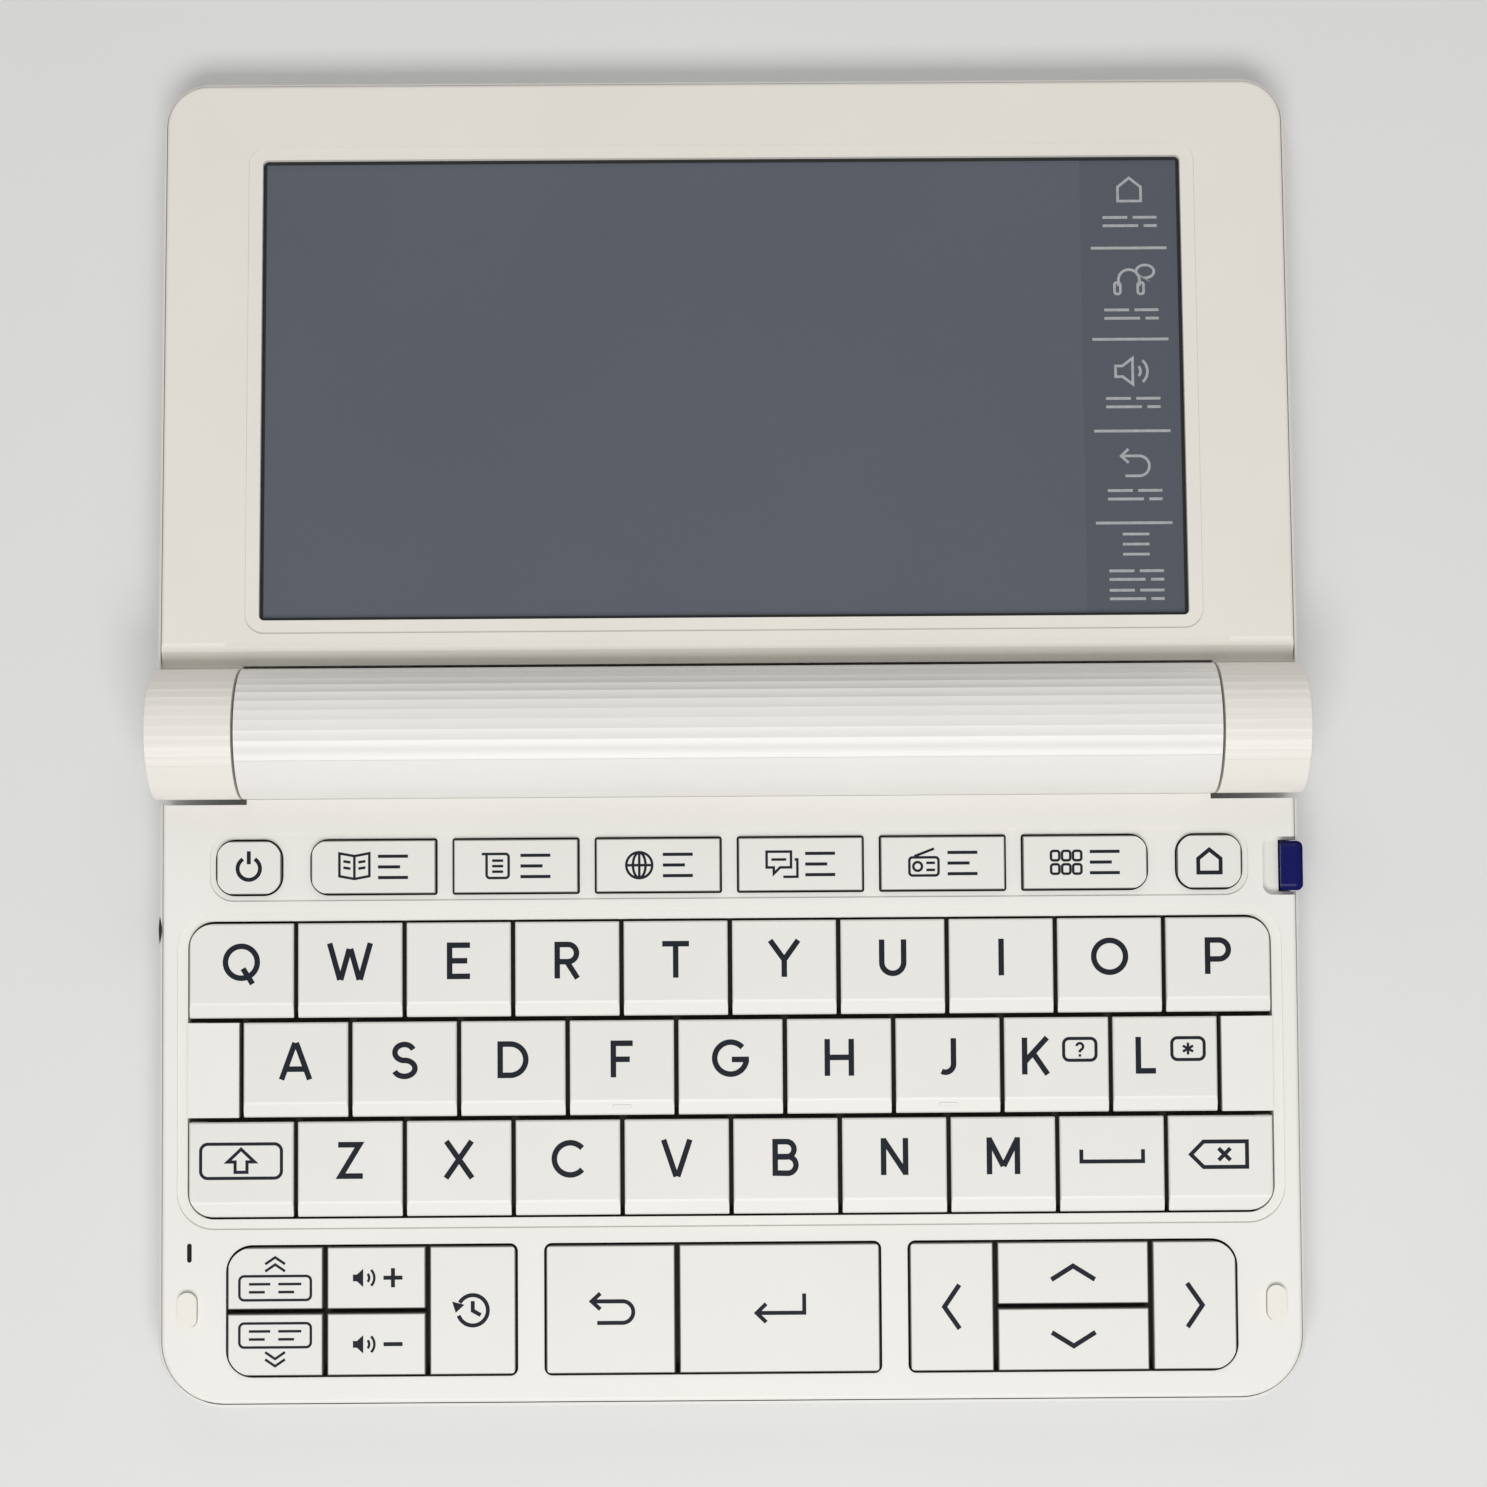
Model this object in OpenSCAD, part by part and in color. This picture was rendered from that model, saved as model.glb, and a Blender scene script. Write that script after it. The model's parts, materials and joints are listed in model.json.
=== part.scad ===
// Clamshell electronic dictionary, lying open flat. The base holds the keyboard and a faceted
// battery barrel along its rear edge. The lid holds the screen and turns on two knuckles at the
// barrel's ends. X runs across, Y from the user's edge to the lid's far edge, Z up from the table.

/* [Case] */
// Width over base, lid and knuckles
case_w = 145.5; // [144.5:0.1:152]
// Hinge axis to the front edge of the base
base_reach = 85.3; // [84.6:0.1:92]
// Hinge axis to the far edge of the lid
lid_reach = 85; // [82:0.1:92]
// Height of the rubber feet, which lift the case off the table
foot_h = 0.5; // [0.4:0.05:1]
// Thickness of the base, from its underside to the top of the keyboard panel
base_t = 7.5; // [7.4:0.05:7.8]
// Thickness of the lid, from its back to the face of the bezel
lid_t = 6; // [5.8:0.05:6.6]
// Corner radius of the base in plan
base_corner = 8.6; // [6:0.1:10]
// Corner radius of the lid in plan
lid_corner = 6; // [5:0.1:8]
// Rounding of the outer edges on the underside of the base and the back of the lid
under_round = 2.2; // [1:0.1:2.6]
// Rounding of the outer edges beside the keyboard panel and the bezel
rim_round = 2.2; // [1.5:0.1:2.4]
// Wall of the lower case
wall = 1.3; // [1:0.05:1.5]
// Floor of the lower case and back wall of the lid
floor_t = 1.2; // [0.9:0.05:1.25]
// Width of the rim that shows beside the keyboard panel and the bezel
rim_w = 0.6; // [0.5:0.05:0.8]
// Width of the rim that shows in front of the keyboard panel
front_rim_w = 0.7; // [0.5:0.05:0.9]
// Parting gap between a rim and the panel or bezel in it
part_gap = 0.15; // [0.1:0.01:0.25]
// Wall of the lid's back cover
lid_wall = 1.2; // [1:0.05:1.5]
// Gap between the keyboard panel and the face of the closed lid
closed_gap = 0.9; // [0.8:0.05:1.2]

/* [Barrel and hinge] */
// Radius of the barrel and the knuckles
barrel_r = 8.3; // [8.2:0.05:8.8]
// Height of the hinge axis above the underside of the base
axis_h = 9.1; // [9:0.05:9.5]
// Width of a knuckle
knuckle_w = 10.95; // [9:0.05:14]
// Gap between the barrel's end and each knuckle
knuckle_gap = 0.35; // [0.25:0.05:0.6]
// Facets in the full circle of barrel and knuckles
facet_count = 40; // [32:4:48]
// Gap between the turning surfaces and what lies beside them
turn_gap = 0.5; // [0.45:0.05:0.8]
// How far the open lid leans back past flat, in degrees
lean = 2.8; // [1:0.1:3]
// Radius of the hinge pins
pin_r = 2; // [1.5:0.1:3]
// Running clearance of the pins in the barrel
pin_clear = 0.05; // [0.02:0.01:0.1]
// Length of each hinge pin
pin_len = 15; // [12:0.5:15.5]
// Rounding of the outer ends of the knuckles
knuckle_round = 0.7; // [0.4:0.05:1]

/* [Keyboard panel] */
// Thickness of the keyboard panel
panel_t = 1.2; // [1.1:0.05:1.3]
// Depth of the shallow dishes round the keys
dish = 0.25; // [0.1:0.05:0.35]
// Border of the dish round the letter keys
dish_border = 1.3; // [0.8:0.1:1.7]
// Border of the dish round the function row
func_border = 0.7; // [0.3:0.05:0.9]
// Corner radius of that dish
func_dish_corner = 3; // [1.5:0.1:3.5]
// Wall of the wells that guide the keys
well_wall = 0.8; // [0.5:0.05:0.9]
// Edge rounding of the keyboard panel and the bezel
edge_round = 0.5; // [0.2:0.05:0.6]
// Distance of the microphone slot from the side of the case
mic_in = 4.25; // [3.8:0.05:4.5]
// Distance of the microphone slot from the front edge of the base
mic_front = 19.8; // [18:0.1:22]
// Length of the microphone slot
mic_len = 2.4; // [1.5:0.1:3]
// Width of the microphone slot
mic_w = 0.6; // [0.4:0.05:0.9]
// Depth of the microphone slot
mic_d = 0.8; // [0.4:0.05:1]

/* [Letter keys] */
// Distance of the letter block from the sides of the case
block_in = 3.95; // [3.75:0.05:6]
// Hinge axis to the rear edge of the letter block
block_rear = 23.75; // [23.5:0.05:24.5]
// Corner radius of the letter block
block_corner = 3.4; // [2:0.1:4]
// Gap between neighbouring keys
key_gap = 0.6; // [0.4:0.05:0.8]
// Height of the key tops above the panel
key_proud = 0.45; // [0.3:0.05:0.5]
// Height of a key cap
key_h = 2.25; // [2:0.05:2.35]
// Travel of the keys
key_travel = 0.7; // [0.5:0.05:0.75]
// Length of the sloped front lip on a letter key
lip_len = 1.95; // [1:0.05:3]
// Drop of the front lip
lip_drop = 0.4; // [0.2:0.05:0.5]
// Chamfer round the key tops
key_edge = 0.18; // [0.1:0.02:0.25]
// Shell thickness of a key's top
key_top_t = 1; // [0.9:0.05:1.2]
// Shell thickness of a key's sides
key_side_t = 0.9; // [0.6:0.05:1.2]
// Radius of the post under each key
post_r = 1.5; // [1:0.1:1.7]

/* [Function keys] */
// Hinge axis to the rear edge of the function row
func_rear = 13.35; // [13:0.05:14]
// Depth of the function row
func_d = 7.2; // [6.8:0.05:7.4]
// Width of the power and home keys
end_key_w = 8.6; // [8:0.1:9]
// Corner radius of the power and home keys
end_key_corner = 2.5; // [1.5:0.1:3]
// Space between an end key and the category keys
end_key_space = 3.4; // [2.5:0.1:4]
// Space between neighbouring category keys
cat_space = 1.88; // [1.7:0.02:3]
// Distance of the function row from the sides of the case
func_in = 7.45; // [6:0.05:9]
// Outer corner radius of the category row and of the bottom clusters
row_corner = 2.4; // [1:0.1:3]

/* [Bottom clusters] */
// Distance of the clusters from the front edge of the base
cluster_front_in = 4.15; // [3.2:0.05:4.6]
// Distance of the clusters from the sides of the case
cluster_in = 8.875; // [8:0.025:10]
// Space between the letter block and the clusters
row_space = 3.21; // [2.6:0.01:4]
// Depth of the clusters
cluster_d = 16.6; // [16:0.1:17]
// Space between neighbouring clusters
cluster_space = 3.3; // [2.5:0.1:3.6]
// Width of the previous and next keys
prev_w = 12.55; // [11:0.05:13]
// Width of the volume keys
vol_w = 12.95; // [12:0.05:13.2]
// Width of the history key
hist_w = 11.35; // [10:0.05:12]
// Width of the back key
back_w = 16.8; // [15:0.1:17.5]
// Width of the left and right arrow keys
arrow_w = 11.05; // [10:0.05:11.5]
// How much narrower the up and down arrow keys are than the enter key
updown_less = 6.2; // [4:0.1:8]

/* [Screen] */
// Width of the screen window
window_w = 118.45; // [110:0.05:120]
// Height of the screen window
window_h = 60; // [54:0.1:60.5]
// Hinge axis to the near edge of the window
window_near = 14.45; // [14:0.05:16]
// Offset of the window to the left of the lid's middle
window_off = 0.43; // [0:0.01:1]
// Corner radius of the window
window_corner = 0.7; // [0.4:0.1:2]
// Border of the shallow step round the window
step_border = 1.75; // [1:0.05:2.5]
// Depth of that step
step_depth = 0.25; // [0.1:0.05:0.4]
// Thickness of the bezel
bezel_t = 1.6; // [1.5:0.05:1.8]
// Lip of the bezel in front of the screen
bezel_lip = 0.8; // [0.6:0.05:0.9]
// Length of the bezel's sloped foot at the hinge
foot_slope = 2.35; // [1.5:0.05:3]
// Extra length of that slope beside the knuckles
foot_slope_end = 0.4; // [0.1:0.05:0.6]
// Thickness of the screen's cover glass
glass_t = 0.8; // [0.5:0.05:1.1]

/* [Batteries] */
// Diameter of an AA cell
cell_d = 14; // [13.5:0.1:14]
// Radial room round the cells
cell_room = 0.15; // [0.05:0.05:0.2]
// Solid end of the barrel beside the battery bay
bay_end = 8.85; // [8:0.05:10]
// Gap round the battery door
door_gap = 0.15; // [0.1:0.01:0.3]
// Height of the door's front wall
door_front_h = 5.5; // [4:0.1:5.8]
// Hinge axis to the foot of the ramp between the door's flat front and its round rear
door_flat = 2.6; // [2:0.1:4]
// Radius of the battery contacts
contact_r = 4.5; // [3:0.1:6]
// Length of a battery contact, from the end of the bay to the cell
contact_len = 2.5; // [2:0.1:4]

/* [Touch pen] */
// Hinge axis to the middle of the pen
pen_y = 17.55; // [17.3:0.05:17.8]
// Width of the pen
pen_w = 4.6; // [3.5:0.1:5]
// Height of the pen
pen_h = 2.7; // [2:0.1:2.8]
// Length of the pen with its head
pen_len = 94; // [80:1:105]
// Width of the pen's head
head_w = 6.3; // [5.5:0.1:6.5]
// Length of the pen's head
head_len = 2.6; // [2:0.1:3]
// Length of the finger recess beside the head
recess_len = 2.3; // [1.5:0.1:2.6]
// Width of the finger recess
recess_w = 7.4; // [6.9:0.1:8]
// Depth of the finger recess
recess_d = 1.05; // [0.6:0.05:1.05]
// Clearance round the pen
pen_clear = 0.15; // [0.1:0.01:0.2]

/* [Ports and pads] */
// Hinge axis to the middle of the earphone jack
jack_y = 24.8; // [24:0.1:27]
// Height of the earphone jack's axis above the underside
jack_h = 4.25; // [3.8:0.05:4.3]
// Radius of the earphone jack's collar
jack_r = 2.45; // [2.2:0.05:2.5]
// Radius of the earphone jack's bore
jack_bore = 1.8; // [1.75:0.01:1.9]
// Depth of the earphone jack's bore
jack_depth = 2.7; // [2:0.1:2.8]
// Distance of the port cover from the front edge of the base
port_front = 13.3; // [11:0.1:17]
// Length of the port cover
port_len = 20.2; // [16:0.1:22]
// Height of the port cover
port_h = 3; // [2.4:0.1:3.2]
// Thickness of the port cover
port_t = 1.1; // [0.9:0.05:1.2]
// Length of an oval lid cushion
cushion_l = 4.5; // [3.5:0.1:5.5]
// Width of an oval lid cushion
cushion_w = 2.4; // [1.8:0.1:2.6]
// Height of the cushions above the panel
cushion_h = 0.6; // [0.5:0.05:0.75]
// Distance of the cushions from the front edge of the base
cushion_front = 12.65; // [9:0.05:15]
// Distance of the cushions from the side of the case
cushion_in = 4.05; // [3.7:0.05:4.2]
// Radius of a foot
foot_r = 3.4; // [2.5:0.1:4]
// Distance of the feet from the sides and the front of the case
foot_in = 9; // [8:0.1:12]
// Distance of the rear feet from the rear edge of the case
foot_rear = 4.9; // [4:0.1:8]
// Distance of the loudspeaker to the left of the middle
speaker_x = 34; // [31:0.5:36]
// Hinge axis to the middle of the loudspeaker
speaker_y = 40; // [36:0.5:46]
// Radius of the loudspeaker
speaker_r = 9; // [8.6:0.1:10]
// Pitch of the slots under the loudspeaker
slot_pitch = 2.2; // [1.8:0.1:2.3]
// Width of these slots
slot_w = 1; // [0.6:0.1:1.2]
// Half the length of the longest slot
slot_reach = 7; // [5:0.1:7.4]

/* [Hidden] */
arc = 48;
eps = 0.01;
over = 1;
pocket_round = 0.1;
inner_round = 0.3;
fit_gap = 0.05;
seat_gap = 0.1;

under_z = foot_h;
panel_z = under_z + base_t;
axis_z = under_z + axis_h;
floor_z = under_z + floor_t;
ledge_z = panel_z - panel_t;

// Key caps end above the mat by their travel, and their posts a little lower than their skirts.
mat_t = 0.5;
board_t = 1;
post_drop = 0.1;
key_z = panel_z + key_proud;
skirt_z = key_z - key_h;
post_z = skirt_z - post_drop;
mat_z = post_z - key_travel - fit_gap;
board_z = mat_z - mat_t;
board_under_z = board_z - board_t;

half_w = case_w / 2;
rim_in = half_w - rim_w;
panel_in = rim_w + part_gap;
barrel_len = case_w - 2 * (knuckle_w + knuckle_gap);
barrel_half = barrel_len / 2;
knuckle_in = barrel_half + knuckle_gap;
lid_foot = barrel_r + turn_gap;
rear_y = lid_foot + seat_gap;
facet = 360 / facet_count;

// The lid is drawn flat about its hinge axis, with its face above the axis.
face_z = axis_h - base_t - closed_gap;
back_z = face_z - lid_t;
seat_z = face_z - bezel_t;
cover_floor_z = back_z + floor_t;
lip_z = face_z - step_depth - bezel_lip;
glass_z = lip_z - fit_gap;

// Where the hinge axis lies, so that the origin is midway between front edge and far edge.
lid_far = lid_reach * cos(lean);
hinge_y = (base_reach - lid_far) / 2;

// What lies on the keyboard panel takes its place from the sides and the front of the case.
cluster_rear = base_reach - cluster_front_in - cluster_d;
pitch_x = (case_w - 2 * block_in) / 10;
pitch_y = (cluster_rear - row_space - block_rear) / 3;
letter_x = -half_w + block_in;
func_x = -half_w + func_in;
cat_x = func_x + end_key_w + end_key_space;
cat_w = (-2 * cat_x - 5 * cat_space) / 6;
cat_pitch = cat_w + cat_space;
mic_y = base_reach - mic_front;
cushion_y = base_reach - cushion_front;
port_rear = base_reach - port_front - port_len;

// The enter key and the up and down keys share the width that the other bottom keys leave.
left_w = prev_w + vol_w + hist_w;
shared_w = case_w - 2 * (cluster_in + cluster_space + arrow_w) - left_w - back_w;
enter_w = (shared_w + updown_less) / 2;
updown_w = shared_w - enter_w;
middle_w = back_w + enter_w;
right_w = 2 * arrow_w + updown_w;
left_x = -half_w + cluster_in;
middle_x = left_x + left_w + cluster_space;
right_x = middle_x + middle_w + cluster_space;
func_gap = 0.22;

// A key is [name, left, front, right, rear, corner radii from front left, gap, lip].
ROW_TOP = ["q", "w", "e", "r", "t", "y", "u", "i", "o", "p"];
ROW_MIDDLE = ["a", "s", "d", "f", "g", "h", "j", "k", "l"];
ROW_BOTTOM = ["shift", "z", "x", "c", "v", "b", "n", "m", "space", "delete"];
function letter_key(name, row, col, shift, radii) = [
    str("key_", name),
    letter_x + (col + shift) * pitch_x,
    -block_rear - (row + 1) * pitch_y,
    letter_x + (col + shift + 1) * pitch_x,
    -block_rear - row * pitch_y,
    radii, key_gap / 2, true];
function func_key(name, x, w, radii) =
    [str("key_", name), x, -func_rear - func_d, x + w, -func_rear, radii, func_gap, false];
function cluster_key(name, x, w, low, high, radii) = [
    str("key_", name), x, -cluster_rear - cluster_d * (1 - low), x + w,
    -cluster_rear - cluster_d * (1 - high), radii, key_gap / 2, false];

// Corner radii of the keys: small between neighbours, larger at the ends of a row or cluster.
tiny = 0.35;
mild = 1;
plain = [tiny, tiny, tiny, tiny];
LETTER_KEYS = concat(
    [for (i = [0:9]) letter_key(ROW_TOP[i], 0, i, 0,
        [tiny, tiny, i == 9 ? block_corner : tiny, i == 0 ? block_corner : tiny])],
    [for (i = [0:8]) letter_key(ROW_MIDDLE[i], 1, i, 0.5, plain)],
    [for (i = [0:9]) letter_key(ROW_BOTTOM[i], 2, i, 0,
        [i == 0 ? block_corner : tiny, i == 9 ? block_corner : tiny, tiny, tiny])]);
end_radii = [for (i = [0:3]) end_key_corner];
function cat_radii(i) = i == 0 ? [row_corner, tiny, tiny, row_corner]
    : i == 5 ? [tiny, row_corner, row_corner, tiny] : plain;
FUNC_KEYS = concat(
    [func_key("power", func_x, end_key_w, end_radii)],
    [for (i = [0:5]) func_key(str("category_", i + 1), cat_x + i * cat_pitch, cat_w, cat_radii(i))],
    [func_key("home", -func_x - end_key_w, end_key_w, end_radii)]);
vol_x = left_x + prev_w;
hist_x = vol_x + vol_w;
enter_x = middle_x + back_w;
updown_x = right_x + arrow_w;
CLUSTER_KEYS = [
    cluster_key("previous", left_x, prev_w, 0.5, 1, [tiny, tiny, tiny, block_corner]),
    cluster_key("next", left_x, prev_w, 0, 0.5, [block_corner, tiny, tiny, tiny]),
    cluster_key("volume_up", vol_x, vol_w, 0.5, 1, plain),
    cluster_key("volume_down", vol_x, vol_w, 0, 0.5, plain),
    cluster_key("history", hist_x, hist_w, 0, 1, [tiny, mild, mild, tiny]),
    cluster_key("back", middle_x, back_w, 0, 1, [mild, tiny, tiny, mild]),
    cluster_key("enter", enter_x, enter_w, 0, 1, [tiny, mild, mild, tiny]),
    cluster_key("left", right_x, arrow_w, 0, 1, [mild, tiny, tiny, mild]),
    cluster_key("up", updown_x, updown_w, 0.5, 1, plain),
    cluster_key("down", updown_x, updown_w, 0, 0.5, plain),
    cluster_key("right", updown_x + updown_w, arrow_w, 0, 1, [tiny, block_corner, block_corner, tiny])];
KEYS = concat(LETTER_KEYS, FUNC_KEYS, CLUSTER_KEYS);

// A well is [left, front, right, rear, corner radii from front left].
cluster_front = -cluster_rear - cluster_d;
BLOCK_WELL = [letter_x, -block_rear - 3 * pitch_y, -letter_x, -block_rear,
    [for (i = [0:3]) block_corner]];
CLUSTER_WELLS = [
    [left_x, cluster_front, left_x + left_w, -cluster_rear, [block_corner, mild, mild, block_corner]],
    [middle_x, cluster_front, middle_x + middle_w, -cluster_rear, [mild, mild, mild, mild]],
    [right_x, cluster_front, right_x + right_w, -cluster_rear, [mild, block_corner, block_corner, mild]]];
WELLS = concat([BLOCK_WELL], CLUSTER_WELLS,
    [for (k = FUNC_KEYS) [k[1], k[2], k[3], k[4], k[5]]]);

ivory = [0.93, 0.92, 0.88];
barrel_white = [0.9, 0.9, 0.89];

// A rectangle with its own radius at each corner, from front left and turning to rear left.
module round_rect(x0, y0, x1, y1, r) {
    polygon([
        [x0 + r[0], y0], [x1 - r[1], y0], [x1, y0 + r[1]], [x1, y1 - r[2]],
        [x1 - r[2], y1], [x0 + r[3], y1], [x0, y1 - r[3]], [x0, y0 + r[0]]]);
    translate([x0 + r[0], y0 + r[0]]) circle(r[0], $fn = arc);
    translate([x1 - r[1], y0 + r[1]]) circle(r[1], $fn = arc);
    translate([x1 - r[2], y1 - r[2]]) circle(r[2], $fn = arc);
    translate([x0 + r[3], y1 - r[3]]) circle(r[3], $fn = arc);
}
function same(r) = [r, r, r, r];

// Extrudes a (Y, Z) outline along X, an (X, Z) outline along Y and an (X, Y) outline along Z.
module along_x(x0, x1) {
    translate([x0, 0, 0]) rotate([90, 0, 90]) linear_extrude(x1 - x0) children();
}
module along_y(y0, y1) {
    translate([0, y1, 0]) rotate([90, 0, 0]) linear_extrude(y1 - y0) children();
}
module up(z0, z1) {
    translate([0, 0, z0]) linear_extrude(z1 - z0) children();
}
// A cylinder along X from x0 to x1.
module rod(x0, x1, r, n = arc) {
    translate([x0, 0, 0]) rotate([0, 90, 0]) cylinder(r = r, h = x1 - x0, $fn = n);
}
module both_sides() {
    children();
    mirror([1, 0, 0]) children();
}

// A slab with rounded corners at its front (low Y) end, square at its rear end, and its outer
// edges rounded by eb below and et above.
module slab(half, front, rear, r, z0, z1, eb, et) {
    along_y(front + r, rear) round_rect(-half, z0, half, z1, [eb, eb, et, et]);
    along_x(-half + r, half - r) round_rect(front, z0, front + 2 * r, z1, [eb, eb, et, et]);
    for (side = [-1, 1])
        translate([side * (half - r), front + r, 0]) rotate_extrude($fn = 2 * arc) {
            polygon([[0, z0], [r - eb, z0], [r, z0 + eb], [r, z1 - et], [r - et, z1], [0, z1]]);
            translate([r - eb, z0 + eb]) circle(eb, $fn = arc);
            translate([r - et, z1 - et]) circle(et, $fn = arc);
        }
}

// Cross-section of barrel and knuckles about the hinge axis: facets from the lid's side over the
// top, a little below the plain arc on the user's side.
facet_drop = 0.03;
module barrel_section(phase) {
    first = -7 * facet + phase;
    last = first + 180;
    r = barrel_r - facet_drop;
    polygon(concat(
        [for (a = [first:facet:last + eps]) r * [cos(a), sin(a)]],
        [barrel_r / 2 * [cos(last + 90), sin(last + 90)]]));
    intersection() {
        circle(barrel_r, $fn = 2 * arc);
        rotate(last) translate([-2 * barrel_r, 0]) square(4 * barrel_r);
    }
}

// Shell of one key in its cell, hollow below, with the post that presses the key mat.
least_corner = 0.12;
module key_cap(k) {
    g = k[6];
    x0 = k[1] + g;
    y0 = k[2] + g;
    x1 = k[3] - g;
    y1 = k[4] - g;
    lip = k[7] ? lip_drop : 0;
    lip_y = k[7] ? lip_len : key_edge;
    top_z = key_z - key_top_t;
    difference() {
        intersection() {
            up(skirt_z, key_z + over) round_rect(x0, y0, x1, y1, [for (r = k[5]) max(r - g, least_corner)]);
            along_x(x0 - over, x1 + over) polygon([
                [y0, skirt_z - over], [y1, skirt_z - over], [y1, key_z - key_edge], [y1 - key_edge, key_z],
                [y0 + lip_y, key_z], [y0 + key_edge, key_z - lip], [y0, key_z - lip - key_edge]]);
            along_y(y0 - over, y1 + over) polygon([
                [x0, skirt_z - over], [x1, skirt_z - over], [x1, key_z - key_edge], [x1 - key_edge, key_z],
                [x0 + key_edge, key_z], [x0, key_z - key_edge]]);
        }
        translate([x0 + key_side_t, y0 + key_side_t, skirt_z - over])
            cube([x1 - x0 - 2 * key_side_t, y1 - y0 - 2 * key_side_t, top_z - skirt_z + over]);
    }
    translate([(x0 + x1) / 2, (y0 + y1) / 2, post_z])
        cylinder(r = post_r, h = top_z - post_z + eps, $fn = arc);
}

module key(k) {
    color(ivory) translate([0, hinge_y, 0]) key_cap(k);
}

// Every well in the panel, grown by a border.
module well(w, grow) {
    round_rect(w[0] - grow, w[1] - grow, w[2] + grow, w[3] + grow, [for (r = w[4]) r + grow]);
}
module wells(z0, z1, grow) {
    for (w = WELLS) up(z0, z1) well(w, grow);
}

// Room for the pen's head, open at the right side.
head_half = head_w / 2 + pen_clear;
module head_notch(z0) {
    translate([half_w - head_len - pen_clear, -pen_y - head_half, z0])
        cube([head_len + pen_clear + over, 2 * head_half, panel_z + over - z0]);
}

// The panel fills the rim of the lower case and reaches the barrel between the knuckles. Its keys
// stand in shallow dishes, in wells that hang down to the key mat.
tongue_d = 1.5;
recess_corner = 1.3;
module keyboard_panel_body() {
    half = half_w - panel_in;
    front = -base_reach + front_rim_w + part_gap;
    well_z = mat_z + seat_gap;
    difference() {
        union() {
            slab(half, front, -rear_y - fit_gap, base_corner - panel_in,
                ledge_z, panel_z, pocket_round, edge_round);
            translate([-barrel_half + seat_gap, -rear_y - over, ledge_z])
                cube([barrel_len - 2 * seat_gap, tongue_d + over, panel_t]);
            wells(well_z, ledge_z + eps, well_wall);
        }
        wells(well_z - over, panel_z + over, 0);
        up(panel_z - dish, panel_z + over) well(BLOCK_WELL, dish_border);
        up(panel_z - dish, panel_z + over)
            round_rect(func_x - func_border, -func_rear - func_d - func_border,
                -func_x + func_border, -func_rear + func_border, same(func_dish_corner));
        // the rear edge stays clear of the barrel
        translate([0, 0, axis_z]) rod(-half_w, half_w, barrel_r + part_gap, 2 * arc);
        up(panel_z - mic_d, panel_z + over) mic_outline();
        both_sides() up(panel_z - cushion_seat, panel_z + over) cushion_outline(fit_gap);
        // the earphone jack's collar reaches up into the underside
        translate([0, -jack_y, jack_z]) rod(-half_w, block_x + seat_gap, jack_r + fit_gap);
        // pen head and the finger recess beside it
        head_notch(ledge_z - over);
        up(panel_z - recess_d, panel_z + over)
            round_rect(half_w - head_len - recess_len, -pen_y - recess_w / 2, half_w + 2 * recess_corner,
                -pen_y + recess_w / 2, same(recess_corner));
    }
    both_sides() half_key(well_z);
}
module mic_outline() {
    translate([-half_w + mic_in, -mic_y])
        round_rect(-mic_w / 2, -mic_len / 2, mic_w / 2, mic_len / 2, same(mic_w / 2 - eps));
}

// A fixed half key at the end of the middle row, one piece with the wall of its well.
half_key_gap = 0.15;
module half_key(z0) {
    front = -block_rear - 2 * pitch_y;
    difference() {
        translate([letter_x - well_wall / 2, front + key_gap / 2, z0])
            cube([well_wall / 2 + pitch_x / 2 - key_gap / 2, pitch_y - key_gap, key_z - z0]);
        translate([letter_x - well_wall, front, panel_z - dish])
            cube([well_wall + half_key_gap, pitch_y, dish + key_proud + over]);
    }
}
module keyboard_panel() {
    color(ivory) translate([0, hinge_y, 0]) keyboard_panel_body();
}

// The left cushion's oval.
cushion_seat = 0.4;
module cushion_outline(grow) {
    r = cushion_w / 2 + grow;
    translate([-half_w + cushion_in, -cushion_y])
        round_rect(-r, -cushion_l / 2 - grow, r, cushion_l / 2 + grow, same(r - eps));
}

// Battery bay: round above the axis and open downwards, with steps that the door fills.
bay_half = barrel_half - bay_end;
bay_len = 2 * bay_half;
cell_r = cell_d / 2 + cell_room;
door_lap = 0.45;
door_front = cell_r + door_lap;
door_front_z = under_z + door_front_h;
door_rear_drop = 1.1;
door_rear_z = axis_z - door_rear_drop;
module bay_cut() {
    translate([0, 0, axis_z]) rod(-bay_half, bay_half, cell_r, 2 * arc);
    translate([-bay_half, -cell_r, 0]) cube([bay_len, 2 * cell_r, axis_z]);
    translate([-bay_half, -door_front - door_gap, 0])
        cube([bay_len, door_front + door_gap + eps, door_front_z + door_gap]);
    translate([-bay_half, 0, 0]) cube([bay_len, barrel_r + over, door_rear_z + door_gap]);
}

module pin_bores(r, room) {
    both_sides() rod(knuckle_in - pin_len / 2 - room, knuckle_in + pin_len / 2 + room, r);
}

// Two ribs that guide the pen, and the posts that carry the board.
rib = 1;
post_in = 16.75;
post_mid = 19;
post_row = 14.5;
post_front = 6.3;
board_post_r = 2;
head_proud = 0.2;
pen_tip_x = half_w + head_proud - pen_len;
pen_run = pen_w / 2 + pen_clear + rib;
module pen_guides() {
    x0 = pen_tip_x - 2 * over;
    for (y = [-pen_y - pen_run, -pen_y + pen_run - rib])
        translate([x0, y, floor_z - eps]) cube([half_w - wall - x0 + eps, rib, board_z - floor_z]);
}
module board_posts() {
    rear = -pen_y - post_row;
    front = -base_reach + post_front;
    both_sides() for (x = [post_mid, half_w - post_in], y = [rear, (rear + front) / 2, front])
        translate([x, y, floor_z - eps])
            cylinder(r = board_post_r, h = board_under_z - floor_z + eps, $fn = arc);
}
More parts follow.
